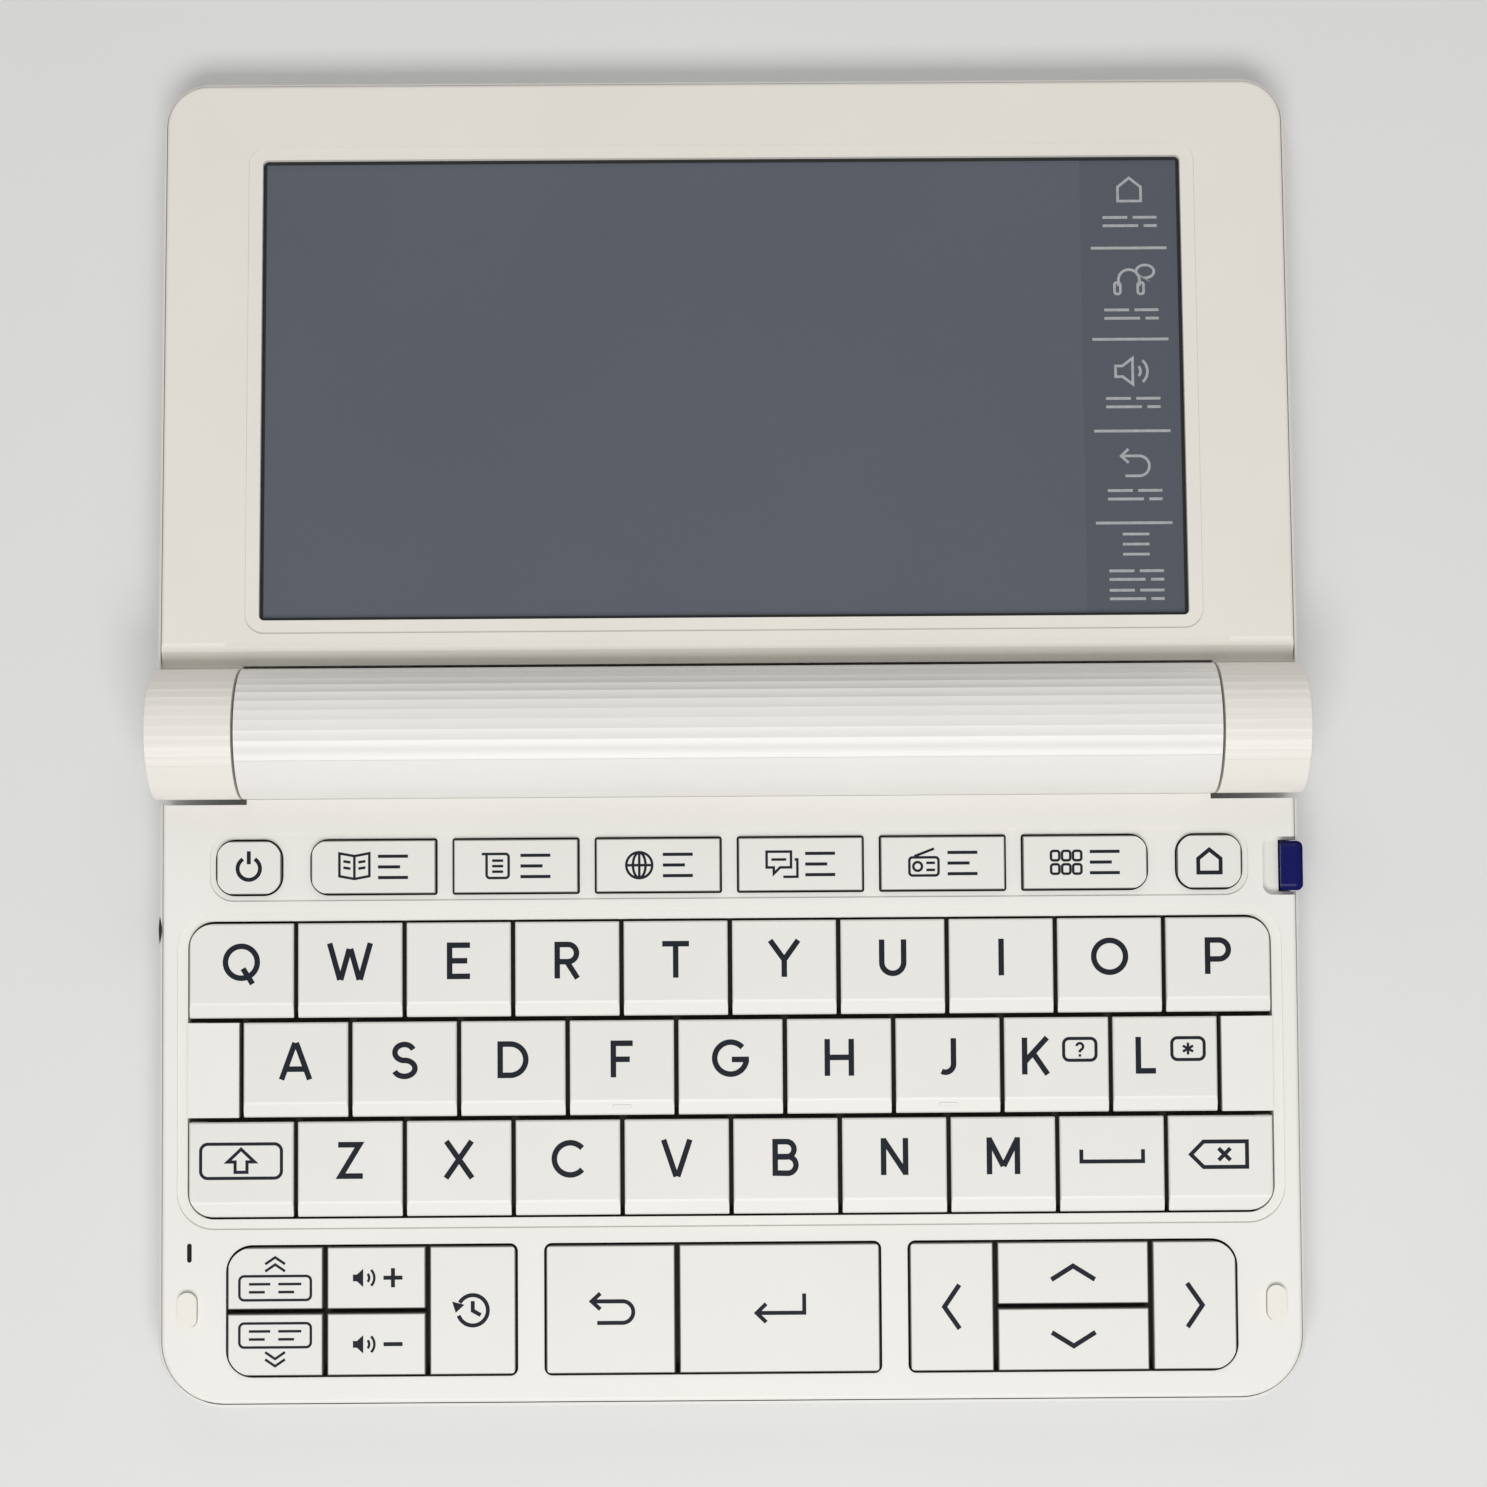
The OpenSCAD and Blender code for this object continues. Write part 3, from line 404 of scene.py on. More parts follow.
# Half the height of a capital, and the middle of a stroke along its top.
TOP = 2.32
CAP = TOP - bold.width / 2
LETTERS = {
    "q": [bold.ring(0, 0, 2.02), bold.line((0.2, -0.8), (1.42, -2.75))],
    "w": [bold.line((-2.58, TOP), (-1.28, -TOP)), bold.line((-1.18, -TOP), (-0.08, 1.6)),
          bold.line((0.08, 1.6), (1.18, -TOP)), bold.line((1.28, -TOP), (2.58, TOP))],
    "e": [bold.line((-1.14, -TOP), (-1.14, TOP)), bold.line((-1.14, CAP), (1.45, CAP)),
          bold.line((-1.14, 0), (1.1, 0)), bold.line((-1.14, -CAP), (1.45, -CAP))],
    "r": [bold.line((-1.26, -TOP), (-1.26, TOP)),
          bold.line((-1.26, CAP), *bold.curve(0.1, CAP - 1.09, 1.09, 90, -90), (-1.26, CAP - 2.18)),
          bold.line((-0.1, -0.1), (1.3, -TOP))],
    "t": [bold.line((-1.7, CAP), (1.7, CAP)), bold.line((0, -TOP), (0, CAP))],
    "y": [bold.line((-1.78, TOP), (0.04, -0.2)), bold.line((1.78, TOP), (-0.04, -0.2)),
          bold.line((0, -TOP), (0, 0.1))],
    "u": [bold.line((-1.39, TOP), *bold.curve(0, 1.39 - CAP, 1.39, 180, 360), (1.39, TOP))],
    "i": [bold.line((0, -TOP), (0, TOP))],
    "o": [bold.ring(0, 0, 2.02)],
    "p": [bold.line((-1.33, -TOP), (-1.33, TOP)),
          bold.line((-1.33, CAP), *bold.curve(0.12, CAP - 1.2, 1.2, 90, -90), (-1.33, CAP - 2.4))],
    "a": [bold.line((-1.78, -TOP), (-0.08, TOP)), bold.line((1.78, -TOP), (0.08, TOP)),
          bold.line((-1.2, -1), (1.2, -1))],
    "s": [bold.line(*bold.curve(0, 1, 1.2, 22, 262, 1.01), *bold.curve(0, -1, 1.33, 82, -158, 1.01))],
    "d": [bold.line((-1.64, -TOP), (-1.64, TOP)),
          bold.line((-1.64, CAP), *bold.curve(-0.37, 0, CAP, 90, -90), (-1.64, -CAP))],
    "f": [bold.line((-1.08, -TOP), (-1.08, TOP)), bold.line((-1.08, CAP), (1.38, CAP)),
          bold.line((-1.08, -0.05), (1, -0.05))],
    "g": [bold.arc(0, 0, 2.02, 42, 355), bold.line((0.15, -0.17), (2.32, -0.17))],
    "h": [bold.line((-1.52, -TOP), (-1.52, TOP)), bold.line((1.52, -TOP), (1.52, TOP)),
          bold.line((-1.52, 0), (1.52, 0))],
    "j": [bold.line((0.7, TOP), *bold.curve(-0.33, 1.03 - CAP, 1.03, 0, -118))],
    "k": [bold.line((-1.45, -TOP), (-1.45, TOP)), bold.line((1.4, TOP), (-1.45, -0.75)),
          bold.line((-0.42, 0.42), (1.45, -TOP))],
    "l": [bold.line((-0.95, -TOP), (-0.95, TOP)), bold.line((-0.95, -CAP), (1.26, -CAP))],
    "z": [bold.line((-1.5, CAP), (1.2, CAP), (-1.2, -CAP), (1.62, -CAP))],
    "x": [bold.line((-1.6, TOP), (1.65, -TOP)), bold.line((1.6, TOP), (-1.65, -TOP))],
    "c": [bold.arc(0.3, 0, 2.02, 42, 318)],
    "v": [bold.line((-1.66, TOP), (-0.1, -TOP)), bold.line((1.66, TOP), (0.1, -TOP))],
    "b": [bold.line((-1.33, -TOP), (-1.33, TOP)),
          bold.line((-1.33, CAP), *bold.curve(0.1, CAP - 0.96, 0.96, 90, -90), (-1.33, CAP - 1.92)),
          bold.line((-1.33, 0.09), *bold.curve(0.24, 0.09 - 1.05, 1.05, 90, -90), (-1.33, -CAP))],
    "n": [bold.line((-1.39, -TOP), (-1.39, TOP)), bold.line((1.39, -TOP), (1.39, TOP)),
          bold.line((-1.33, CAP + 0.05), (1.33, -CAP - 0.05))],
    "m": [bold.line((-1.77, -TOP), (-1.77, TOP)), bold.line((1.77, -TOP), (1.77, TOP)),
          bold.line((-1.7, CAP), (-0.02, -1.3)), bold.line((1.7, CAP), (0.02, -1.3))],
}

# K and L also carry a small sign in a box.
fine = Nib(0.32)
boxed = Nib(0.4)
SIGN_BOX = [boxed.rounded(4.1, 2.75, 0.7)]
QUERY = [fine.line(*fine.curve(0, 0.35, 0.42, 170, -50), (0, -0.2), (0, -0.38)),
         fine.line((0, -0.62), (0, -0.92))]
STAR = [fine.line((0, -0.75), (0, 0.75)), fine.line((-0.65, -0.37), (0.65, 0.37)),
        fine.line((-0.65, 0.37), (0.65, -0.37))]
LETTERS["k"] = shifted(LETTERS["k"], -2.6, 0) + shifted(SIGN_BOX + QUERY, 2.95, 0.8)
LETTERS["l"] = shifted(LETTERS["l"], -2.45, 0) + shifted(SIGN_BOX + STAR, 2.9, 0.8)

# How far the middle of a letter lies in front of the rear edge of its key.
LETTER_DOWN = 4.85 * MM


def print_on_key(name, strokes, in_letter_rows):
    """Prints a legend on the flat of a key in the letter rows, or in the middle of another key."""
    low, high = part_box("key_" + name)
    middle_y = high.y - LETTER_DOWN if in_letter_rows else (low.y + high.y) / 2
    spot = Vector(((low.x + high.x) / 2, middle_y, high.z))
    print_sign("legend_" + name, strokes, Matrix.Translation(spot), key_ink, "key_" + name)


for name, strokes in LETTERS.items():
    print_on_key(name, strokes, True)

# Signs of the function keys
# Each has a plain pictogram in the same ink: a book, a scroll, a globe and so on beside three bars on
# the six category keys, and the usual signs for power, home, shift, delete, enter and the arrows.
medium = Nib(0.5)
chevron = Nib(0.6)
BARS = [boxed.line((0.6, 1.35), (4.4, 1.35)), boxed.line((0.6, 0), (3.4, 0)),
        boxed.line((0.6, -1.35), (4.4, -1.35))]
HOUSE = [(-1.42, -1.42), (1.42, -1.42), (1.42, 0.35), (0, 1.5), (-1.42, 0.35)]
SPEAKER = [fine.solid((-0.95, -0.42), (-0.45, -0.42), (0.35, -1.15), (0.35, 1.15), (-0.45, 0.42),
                      (-0.95, 0.42))]
WAVES = [fine.arc(0.35, 0, 0.75, -42, 42), fine.arc(0.35, 0, 1.4, -45, 45)]
UP_TWICE = [fine.line((-1.25, -0.85), (0, 0), (1.25, -0.85)),
            fine.line((-1.25, 0.05), (0, 0.9), (1.25, 0.05))]
HEADING = [fine.rounded(9, 3, 0.6), fine.line((-3.3, 0.5), (-0.6, 0.5)),
           fine.line((-3.3, -0.5), (-1.3, -0.5)), fine.line((0.4, 0.5), (3.3, 0.5)),
           fine.line((0.4, -0.5), (2.4, -0.5))]
VOLUME_SIGN = shifted(SPEAKER + WAVES, -2, 0) + [medium.line((0.9, 0), (3.3, 0))]
SIGNS = {
    "power": [medium.line(*medium.curve(0, -0.1, 1.42, 58, -238)), medium.line((0, 0.45), (0, 2.1))],
    "home": [medium.line(*HOUSE, closed=True)],
    "category_1": BARS + [
        fine.line((-2.4, -1.5), (-4.3, -1.15), (-4.3, 1.75), (-2.4, 1.4), (-0.5, 1.75), (-0.5, -1.15),
                  closed=True),
        fine.line((-2.4, -1.4), (-2.4, 1.4)), fine.line((-3.8, 0.75), (-2.9, 0.6)),
        fine.line((-3.8, -0.05), (-2.9, -0.2)), fine.line((-1.9, 0.6), (-1, 0.75)),
        fine.line((-1.9, -0.2), (-1, -0.05))],
    "category_2": BARS + [
        fine.line((-3.7, 1.55), (-3.7, -1.1), *fine.curve(-3.3, -1.1, 0.4, 180, 270), (-1.3, -1.5),
                  *fine.curve(-1.3, -1.1, 0.4, 270, 360), (-0.9, 1.15)),
        fine.line((-4.3, 1.55), (-1.3, 1.55), *fine.curve(-1.3, 1.15, 0.4, 90, 0)),
        fine.line((-3, 0.7), (-1.6, 0.7)), fine.line((-3, 0), (-1.6, 0)),
        fine.line((-3, -0.7), (-1.6, -0.7))],
    "category_3": BARS + [
        fine.ring(-2.4, 0, 1.65), fine.line((-4, 0), (-0.8, 0)), fine.line((-2.4, -1.6), (-2.4, 1.6)),
        fine.ring(-2.4, 0, 0.8, 1.6)],
    "category_4": BARS + [
        fine.line((-4.3, 1.6), (-1.2, 1.6), (-1.2, -0.4), (-2.6, -0.4), (-3.4, -1.2), (-3.4, -0.4),
                  (-4.3, -0.4), closed=True),
        fine.line((-3.7, 0.6), (-1.8, 0.6)),
        fine.line((-0.75, 0.6), (-0.4, 0.6), (-0.4, -1.6), (-2.2, -1.6))],
    "category_5": BARS + [
        fine.rounded(3.7, 2.3, 0.4, -2.4, -0.4), fine.ring(-3.2, -0.4, 0.55),
        fine.line((-2.1, 0.05), (-1, 0.05)), fine.line((-2.1, -0.85), (-1, -0.85)),
        fine.line((-3.6, 0.9), (-1.1, 1.85))],
    "category_6": BARS + [
        fine.rounded(1.05, 1.2, 0.3, x, y) for x in (-3.8, -2.4, -1) for y in (-0.85, 0.85)],
    "shift": [boxed.rounded(10.2, 4.3, 0.9),
              boxed.line((0, 1.5), (1.7, -0.1), (0.75, -0.1), (0.75, -1.4), (-0.75, -1.4), (-0.75, -0.1),
                         (-1.7, -0.1), closed=True)],
    "space": [medium.line((-3.9, 0.7), (-3.9, -0.8), (3.9, -0.8), (3.9, 0.7))],
    "delete": [medium.line((-3.8, 0), (-2.2, 1.6), (3.3, 1.6), (3.3, -1.6), (-2.2, -1.6), closed=True),
               medium.line((-0.3, -0.75), (1.2, 0.75)), medium.line((-0.3, 0.75), (1.2, -0.75))],
    "previous": shifted(UP_TWICE, 0, 1.75) + shifted(HEADING, 0, -1.2),
    "next": shifted(UP_TWICE, 0, -1.75, -1) + shifted(HEADING, 0, 1.2),
    "volume_up": VOLUME_SIGN + [medium.line((2.1, -1.2), (2.1, 1.2))],
    "volume_down": VOLUME_SIGN,
    "history": [medium.arc(0, 0, 1.9, 150, -160), medium.line((0, 1.15), (0, -0.05), (1, -0.6)),
                fine.solid((-2.6, 1.1), (-1.05, 0.7), (-2.15, -0.3))],
    "back": [medium.line((-2.3, 1), (1.5, 1), *medium.curve(1.5, -0.35, 1.35, 90, -90), (-1.7, -1.7)),
             medium.line((-1.3, 2), (-2.4, 1), (-1.3, 0))],
    "enter": [medium.line((3.1, 1.8), (3.1, -0.6), (-2.6, -0.6)),
              medium.line((-1.7, 0.55), (-2.9, -0.6), (-1.7, -1.75))],
    "left": [chevron.line((0.95, 2.75), (-0.95, 0), (0.95, -2.75))],
    "right": [chevron.line((-0.95, 2.75), (0.95, 0), (-0.95, -2.75))],
    "up": [chevron.line((-2.75, -0.85), (0, 0.85), (2.75, -0.85))],
    "down": [chevron.line((-2.75, 0.85), (0, -0.85), (2.75, 0.85))],
}
for name, strokes in SIGNS.items():
    print_on_key(name, strokes, name in ("shift", "space", "delete"))

# Home bars
# The F and J caps have a low raised bar on the sloped front lip, to find them by touch. It is moulded
# in one with the cap.
BAR_MM = (2.3, 0.4, 0.2)
BAR_ROUND_MM = 0.08
BAR_FROM_FRONT = 1.1 * MM
BAR_BELOW_TOP = 0.17 * MM
LIP_DROP = 0.4 * MM
LIP_RUN = 1.77 * MM


def block(name, size_mm, place, round_mm, material, body):
    """A box with rounded edges that rides on a body."""
    bpy.ops.object.select_all(action="DESELECT")
    bpy.ops.mesh.primitive_cube_add(size=1)
    made = bpy.context.view_layer.objects.active
    made.name = name
    made.matrix_world = place @ Matrix.Diagonal((*[side * MM for side in size_mm], 1))
    bpy.ops.object.transform_apply(location=True, rotation=True, scale=True)
    bevel = made.modifiers.new("round_edges", "BEVEL")
    bevel.width = round_mm * MM
    bevel.segments = 3
    bpy.ops.object.modifier_apply(modifier=bevel.name)
    made.data.materials.append(material)
    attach(made, body)


on_slope = Matrix.Rotation(math.atan2(LIP_DROP, LIP_RUN), 4, "X")
for letter in "fj":
    low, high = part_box("key_" + letter)
    spot = Vector(((low.x + high.x) / 2, low.y + BAR_FROM_FRONT, high.z - BAR_BELOW_TOP))
    block("home_bar_" + letter, BAR_MM, Matrix.Translation(spot) @ on_slope, BAR_ROUND_MM,
          key_abs, "key_" + letter)

# Microphone gauze
# A strip of black felt closes the microphone's slot just under the panel's face. Its black is also
# painted shade, for the dark down in the slot. It is glued in from behind and keeps the dust out.
GAUZE_MM = (0.58, 2.38, 0.6)
GAUZE_MIDDLE_MM = (-68.5, -65.5, 7.6)
GAUZE_ROUND_MM = 0.12
FIBRE = 0.12 * MM
material, shader, place = new_finish("black_felt_and_shade", IOR=1.4)
fuzz = place.noise(FIBRE, 3)
set_sockets(
    shader,
    Base_Color=fuzz.mix(paint(14, 14, 15), paint(30, 30, 31)),
    Roughness=0.85 + 0.1 * fuzz,
    Normal=place.bump(0.4, 0.08 * MM, fuzz))
block("microphone_felt_and_shade", GAUZE_MM, Matrix.Translation(Vector(GAUZE_MIDDLE_MM) * MM), GAUZE_ROUND_MM,
      material, "base")

# Case screws
# Six cross-head screws hold the tub to the panel, with low heads just proud of the underside. Each
# head is turned in steel, with a rounded edge, and its recess is cut in.
material, shader, place = new_finish("plated_steel", Metallic=1.0)
haze = place.noise(0.5 * MM, 3)
set_sockets(
    shader,
    Base_Color=haze.mix(paint(150, 152, 156), paint(190, 192, 196)),
    Roughness=0.28 + 0.2 * haze)
HEAD_R = 1.7 * MM
HEAD_H = 0.4 * MM
HEAD_PROUD = 0.25 * MM
HEAD_EDGE = 0.1 * MM
RECESS_MM = (2.1, 0.5, 0.5)
RECESS_TURN_DEG = 20
SCREW_X_MM = 59
SCREW_ROWS_MM = (-18, -44, -72)
SCREWS_MM = [(side * SCREW_X_MM, row) for side in (-1, 1) for row in SCREW_ROWS_MM]
face_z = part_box("bottom_case")[0].z - HEAD_PROUD


def cut_out(target, tool):
    """Cuts the tool out of the target and removes it."""
    cut = target.modifiers.new("cut", "BOOLEAN")
    cut.operation = "DIFFERENCE"
    cut.solver = "EXACT"
    cut.object = tool
    bpy.context.view_layer.objects.active = target
    bpy.ops.object.modifier_apply(modifier=cut.name)
    bpy.data.objects.remove(tool)


for count, (x_mm, y_mm) in enumerate(SCREWS_MM, 1):
    bpy.ops.object.select_all(action="DESELECT")
    bpy.ops.mesh.primitive_cylinder_add(vertices=48, radius=HEAD_R, depth=HEAD_H,
                                        location=(x_mm * MM, y_mm * MM, face_z + HEAD_H / 2))
    screw = bpy.context.view_layer.objects.active
    bpy.ops.object.transform_apply(location=True, rotation=True, scale=True)
    bevel = screw.modifiers.new("turned_edge", "BEVEL")
    bevel.width = HEAD_EDGE
    bevel.segments = 3
    bevel.limit_method = "ANGLE"
    bpy.ops.object.modifier_apply(modifier=bevel.name)
    for turn in (RECESS_TURN_DEG * count, RECESS_TURN_DEG * count + 90):
        bpy.ops.mesh.primitive_cube_add(size=1)
        recess = bpy.context.view_layer.objects.active
        recess.matrix_world = (Matrix.Translation((x_mm * MM, y_mm * MM, face_z))
                               @ Matrix.Rotation(math.radians(turn), 4, "Z")
                               @ Matrix.Diagonal((*[side * MM for side in RECESS_MM], 1)))
        cut_out(screw, recess)
    bpy.ops.object.select_all(action="DESELECT")
    screw.select_set(True)
    bpy.context.view_layer.objects.active = screw
    bpy.ops.object.shade_smooth_by_angle(angle=math.radians(35))
    screw.name = f"case_screw_{count}"
    screw.data.materials.append(material)
    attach(screw, "base")

# Grip of the battery door
# Five low ribs in the middle of the door give the thumb a hold when it is taken off. They are moulded
# in one with the door.
RIB_MM = (0.6, 6, 0.4)
RIB_ROUND_MM = 0.18
RIB_PITCH_MM = 1.6
low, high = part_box("battery_door")
for count in range(1, 6):
    spot = Vector(((count - 3) * RIB_PITCH_MM * MM, (low.y + high.y) / 2, low.z))
    block(f"door_rib_{count}", RIB_MM, Matrix.Translation(spot), RIB_ROUND_MM,
          white_abs, "battery_door")

# Circuit board and what it carries
# A green laminate board under an olive-black rubber mat. The jack and its collar are black nylon, the
# sockets and battery contacts plated metal, and the loudspeaker a black cone in a metal basket.
MAT_FROM_Z = 4.83 * MM
HANGING_TO_Z = 3.83 * MM
CONTACT_Z = 5.6 * MM
JACK_X = -57 * MM
JACK_Y = (-29 * MM, -20 * MM)
SOCKET_X = 60 * MM
SPEAKER_X = -34 * MM
SPEAKER_Y = -40 * MM
SPEAKER_R = 9.05 * MM
CONE_R = 7.8 * MM
material, shader, place = new_finish("board_and_mat", IOR=1.5)
x, y, z = place.axes()
mat = z.beyond(MAT_FROM_Z)
hanging = 1 - z.beyond(HANGING_TO_Z)
from_speaker = ((x - SPEAKER_X) * (x - SPEAKER_X) + (y - SPEAKER_Y) * (y - SPEAKER_Y)).maths("SQRT")
speaker = hanging * (1 - from_speaker.beyond(SPEAKER_R))
cone = speaker * (1 - from_speaker.beyond(CONE_R))
jack = (1 - x.beyond(JACK_X)) * y.between(*JACK_Y)
black = 1 - (1 - jack) * (1 - cone)
socket = x.beyond(SOCKET_X) * hanging
metal = (1 - (1 - z.beyond(CONTACT_Z)) * (1 - socket) * (1 - speaker)) * (1 - black)
weave = place.noise(0.4 * MM, 3)
cloud = place.noise(4 * MM)
laminate = weave.mix(paint(28, 78, 52), paint(44, 104, 70))
rubber = cloud.mix(paint(52, 50, 40), paint(74, 71, 58))
set_sockets(
    shader,
    Base_Color=black.mix(
        metal.mix(mat.mix(laminate, rubber), paint(196, 192, 182)), paint(18, 18, 20)),
    Metallic=metal,
    Roughness=0.42 + 0.25 * mat + 0.2 * (weave - 0.5) - 0.15 * metal,
    Normal=place.bump(0.15, 0.1 * MM, weave))
dress(material, "circuit_board")

# Cells
# Two AA cells lie in the barrel end to end. Each is a steel can in a plain teal wrap, with a pale band
# near its bare stud.
cells_low, cells_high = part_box("batteries")
CELL_LENGTH = (cells_high.x - cells_low.x) / 2
BAND = (36 * MM, 45 * MM)
STUD_FROM = 49 * MM
material, shader, place = new_finish("cell_wrap", IOR=1.5)
along = (place.axes()[0] - cells_low.x).maths("FLOORED_MODULO", CELL_LENGTH)
band = along.between(*BAND)
stud = along.beyond(STUD_FROM)
scuff = place.noise(1.5 * MM, 4)
set_sockets(
    shader,
    Base_Color=stud.mix(
        band.mix(scuff.mix(paint(44, 96, 104), paint(56, 110, 118)), paint(206, 208, 204)),
        paint(200, 200, 200)),
    Metallic=stud + (1 - stud) * 0.3,
    Roughness=0.32 + 0.15 * (scuff - 0.5))
dress(material, "batteries")

# Hinge pins
# Two steel pins, pressed into the knuckles and running in the ends of the barrel. They are turned on
# a lathe, which has left fine rings.
RINGS_PER_METRE = 9000
material, shader, place = new_finish("turned_steel", Metallic=1.0)
rings = place.node("ShaderNodeTexNoise", {"noise_dimensions": "1D"},
                   {"W": place.axes()[0], "Scale": RINGS_PER_METRE, "Detail": 2})
set_sockets(
    shader,
    Base_Color=rings.mix(paint(176, 178, 182), paint(206, 208, 212)),
    Roughness=0.22 + 0.16 * rings)
dress(material, "hinge_pins")

# Touch pen
# A flat stylus of navy blue ABS pushed into the right side. Its head is satin, and the light rolls
# over its edges as over rounded ones.
low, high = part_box("touch_pen")
HEAD_ROUND = 0.9 * MM
HEAD_STEEP = 0.6
SPECK = 0.3 * MM
material, shader, place = new_finish("navy_abs", IOR=1.3)
x, y = place.axes()[:2]
aside = (y - (low.y + high.y) / 2).maths("ABSOLUTE")
past_end = (x - (high.x - HEAD_ROUND)).maths("MAXIMUM", 0)
past_side = (aside - ((high.y - low.y) / 2 - HEAD_ROUND)).maths("MAXIMUM", 0)
fall = (past_end * past_end + past_side * past_side) * (HEAD_STEEP / HEAD_ROUND)
specks = place.noise(SPECK, 3)
set_sockets(
    shader,
    Base_Color=specks.mix(paint(3, 6, 82), paint(12, 18, 98)),
    Roughness=0.28 + 0.2 * (specks - 0.5),
    Normal=place.bump(1, 1, (0.02 * SPECK) * specks - fall))
dress(material, "touch_pen")

# Rubber pads
# Four grey rubber feet under the case and two ivory cushions that meet the closed lid. Down in their
# pockets the cushions carry painted shade in the grey of the feet.
CUSHION_SHADE_TOP = 8.02 * MM
FEET_TOP = 1 * MM
material, shader, place = new_finish("pad_rubber", IOR=1.45)
z = place.axes()[2]
cushion = z.beyond(FEET_TOP)
dust = place.noise(0.8 * MM, 4)
grey = dust.mix(paint(70, 70, 72), paint(92, 92, 92))
ivory = dust.mix(paint(236, 233, 224), paint(241, 238, 230))
set_sockets(
    shader,
    # The feet's grey, low on the cushions, is painted shade there.
    Base_Color=z.beyond(CUSHION_SHADE_TOP).mix(grey, ivory),
    Roughness=0.85 - 0.3 * cushion + 0.15 * (dust - 0.5),
    Normal=place.bump(0.12, 0.1 * MM, dust))
dress(material, "rubber_pads")

# Screen
# A touch glass over an unlit reflective display: slate grey with a fine diffuse grain, a thin near-black
# border of painted shade along its edge, where the bezel's rim shades the sunken glass, and a column
# for the touch signs on the right.
INSIDE_X = (-59.205 * MM, 58.345 * MM)
INSIDE_ALONG = (14.9 * MM, 74 * MM)
COLUMN_X = 45.9 * MM
material, shader, place = new_finish("screen_glass", IOR=1.5, Coat_Roughness=0.08, Coat_IOR=1.5)
x = place.axes()[0]
# Outside these bounds the glass gets near-black painted shade from the bezel's rim.
clear_of_rim_shade = x.between(*INSIDE_X) * lid_place(place)[0].between(*INSIDE_ALONG)
column = x.beyond(COLUMN_X, 0.05 * MM)
grain = place.noise(0.35 * MM, 2)
cloud = place.noise(30 * MM)
slate = cloud.mix(paint(80, 86, 97), paint(87, 93, 104))
display = (0.35 * grain).mix(slate, paint(96, 102, 112))
set_sockets(
    shader,
    Base_Color=clear_of_rim_shade.mix(paint(20, 21, 24), column.mix(display, paint(80, 85, 96))),
    Roughness=0.36 + 0.12 * (grain - 0.5),
    Coat_Weight=0.2 + 0.05 * cloud)
dress(material, "screen_module")

# Touch signs
# Five pale grey signs printed on the glass in a column beside the display, parted by thin lines, with
# short bars as captions: home, headphones, loudspeaker, back and menu.
sign_ink = printed("pale_grey_ink", (168, 170, 172), 0.45)
thin = Nib(0.34)
stripe = Nib(0.36)
COLUMN_MIDDLE_MM = 52.3
GLASS_TOP_MM = -0.4
CAPTION = [stripe.line((-3.5, 0.55), (-0.3, 0.55)), stripe.line((0.4, 0.55), (3.5, 0.55)),
           stripe.line((-3.5, -0.55), (1.1, -0.55)), stripe.line((1.8, -0.55), (3.5, -0.55))]
RULE = [stripe.line((-5.1, 0), (4.7, 0))]

# Signs, captions and rules, each with its distance from the hinge along the lid.
SCREEN_SIGNS = {
    "home": (70.1, [thin.line(*[(1.05 * px, 1.05 * py) for px, py in HOUSE], closed=True)]),
    "headphones": (58.0, [
        thin.line((-1.6, -0.6), *thin.curve(-0.25, 0.2, 1.35, 180, 0), (1.1, -0.6)),
        thin.rounded(0.75, 1.5, 0.3, -1.75, -0.9), thin.rounded(0.75, 1.5, 0.3, 1.25, -0.9),
        thin.line(*thin.curve(1.85, 1.3, 1.15, 250, 570, 0.85), (2.2, 0.1), closed=True)]),
    "speaker": (46.2, [
        thin.line((-2.2, -0.7), (-1.3, -0.7), (0, -1.7), (0, 1.7), (-1.3, 0.7), (-2.2, 0.7),
                  closed=True),
        thin.arc(0, 0, 1, -40, 40), thin.arc(0, 0, 1.9, -48, 48)]),
    "back": (34.2, [
        thin.line((-1.6, 0.95), (0.6, 0.95), *thin.curve(0.6, -0.35, 1.3, 90, -90), (-1.2, -1.65)),
        thin.line((-0.75, 1.85), (-1.7, 0.95), (-0.75, 0.05))]),
    "menu": (23.7, [thin.line((-1.7, 1.3), (1.7, 1.3)), thin.line((-1.7, 0), (1.7, 0)),
                    thin.line((-1.7, -1.3), (1.7, -1.3))]),
}
CAPTIONS_MM = (65.9, 53.7, 42.1, 30.1, 19.7, 17.2)
RULES_MM = (62.4, 50.4, 38.4, 26.45)
on_lid = Matrix.Translation((0, axis_y, axis_z)) @ Matrix.Rotation(-lean, 4, "X")


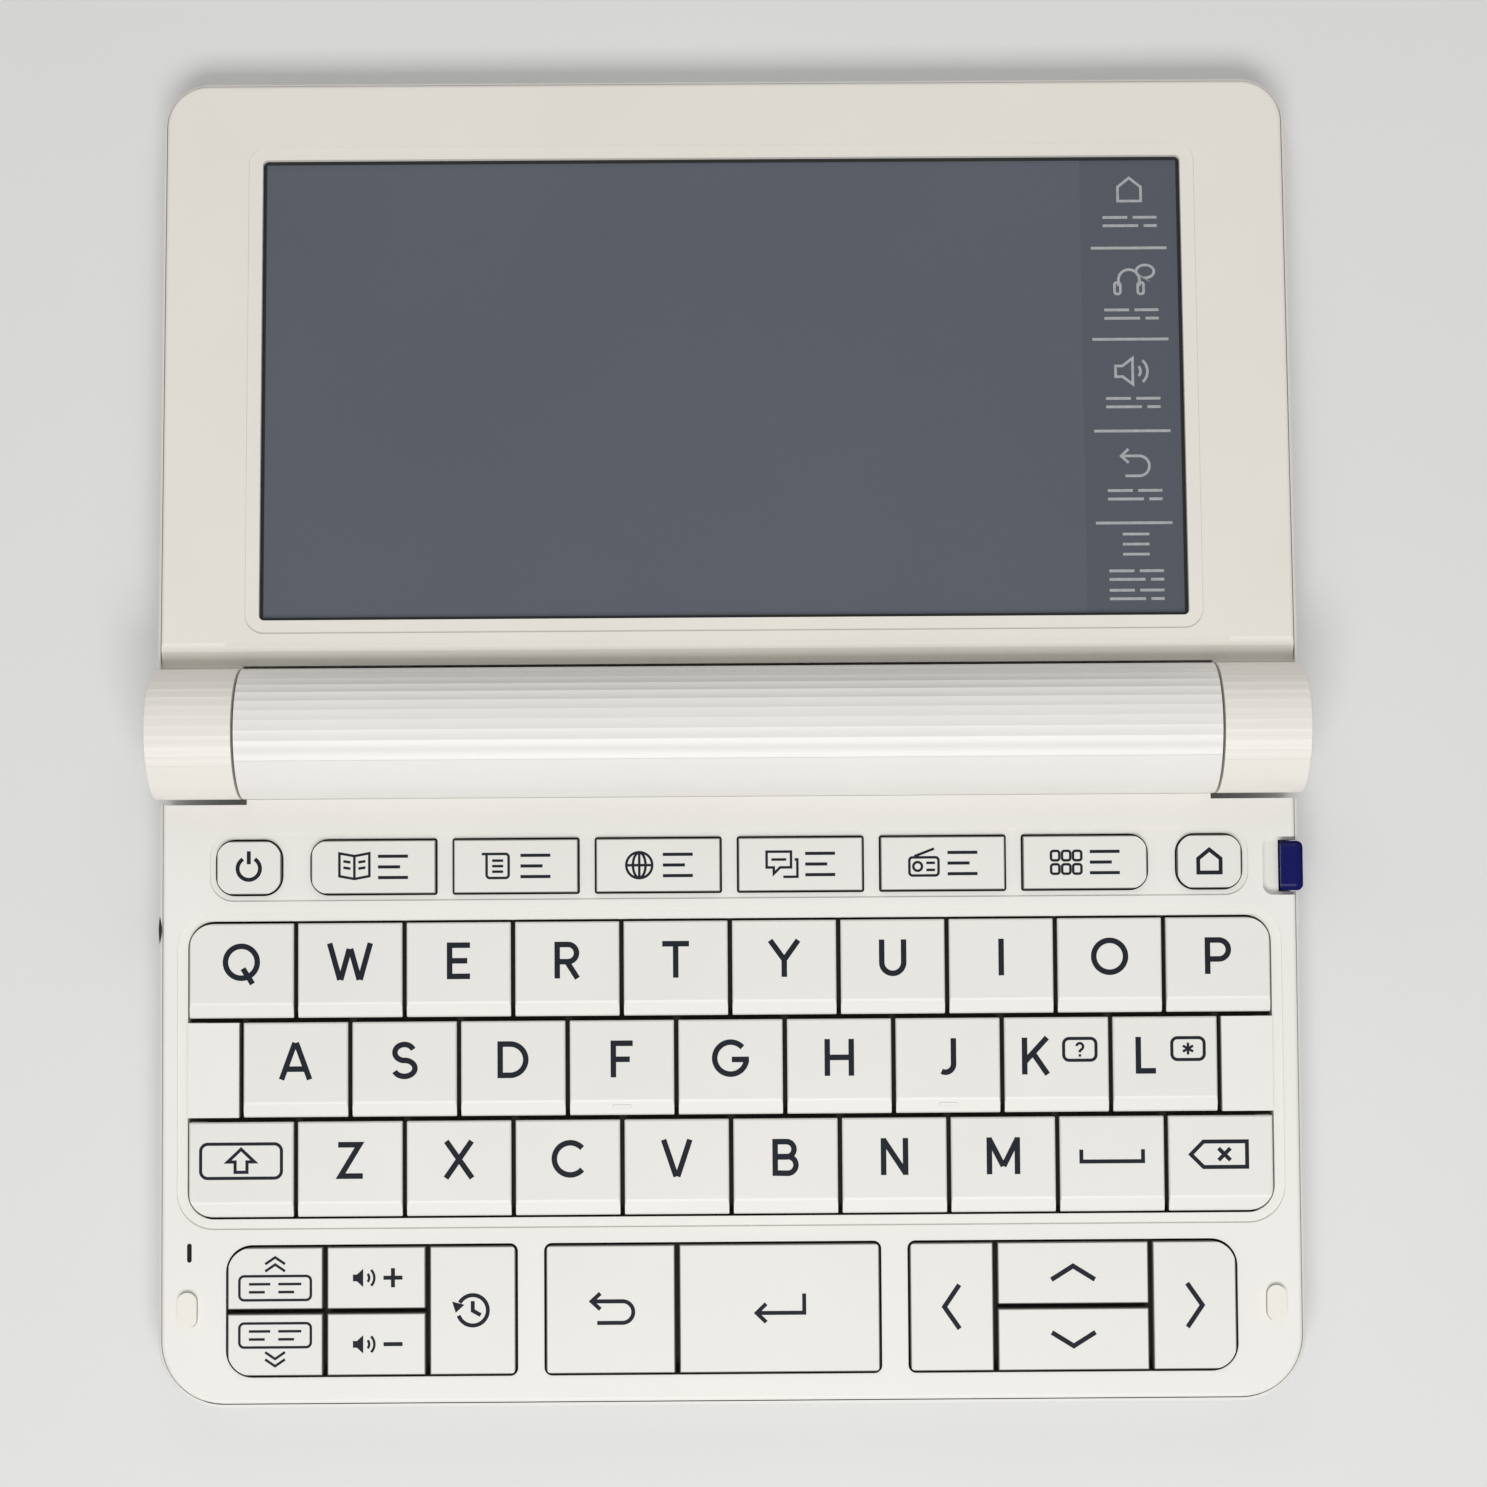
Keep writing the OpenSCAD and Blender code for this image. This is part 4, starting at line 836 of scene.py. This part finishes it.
def print_on_screen(name, strokes, along_mm):
    """Prints a sign in the touch column, this far from the hinge along the lid."""
    spot = Matrix.Translation(Vector((COLUMN_MIDDLE_MM, along_mm, GLASS_TOP_MM)) * MM)
    print_sign(name, strokes, on_lid @ spot, sign_ink, "lid")


for name, (along_mm, strokes) in SCREEN_SIGNS.items():
    print_on_screen("touch_sign_" + name, strokes, along_mm)
for count, along_mm in enumerate(CAPTIONS_MM, 1):
    print_on_screen(f"touch_caption_{count}", CAPTION, along_mm)
for count, along_mm in enumerate(RULES_MM, 1):
    print_on_screen(f"touch_rule_{count}", RULE, along_mm)

# Table and light
# A pale matt table top in an even white room, with a large soft lamp over the user's side and a
# weaker one beyond the lid.
TABLE_SIDE = 6
ROOM_LIGHT = 0.42
material, shader, place = new_finish("table_top", IOR=1.4)
haze = place.noise(50 * MM, 3)
set_sockets(
    shader,
    Base_Color=haze.mix(paint(226, 226, 225), paint(230, 230, 229)),
    Roughness=0.6 + 0.1 * haze)
bpy.ops.object.select_all(action="DESELECT")
bpy.ops.mesh.primitive_plane_add(size=TABLE_SIDE)
table = bpy.context.view_layer.objects.active
table.name = "table_top"
table.data.materials.append(material)


def area_lamp(name, place, width, depth, energy):
    """A soft lamp that looks at the middle of the table."""
    lamp = bpy.data.lights.new(name, "AREA")
    lamp.shape = "RECTANGLE"
    lamp.size = width
    lamp.size_y = depth
    lamp.energy = energy
    stand = bpy.data.objects.new(name, lamp)
    stand.location = place
    stand.rotation_euler = (-Vector(place)).to_track_quat("-Z", "Y").to_euler()
    bpy.context.scene.collection.objects.link(stand)


area_lamp("main_lamp", (0, -0.4, 0.6), width=0.5, depth=0.27, energy=2.9)
area_lamp("fill_lamp", (0, 0.6, 0.5), width=0.9, depth=0.4, energy=0.9)
room = bpy.data.worlds.new("room")
bpy.context.scene.world = room
room.use_nodes = True
room.node_tree.nodes["Background"].inputs["Color"].default_value = (1, 1, 1, 1)
room.node_tree.nodes["Background"].inputs["Strength"].default_value = ROOM_LIGHT
bpy.context.scene.view_settings.view_transform = "Standard"
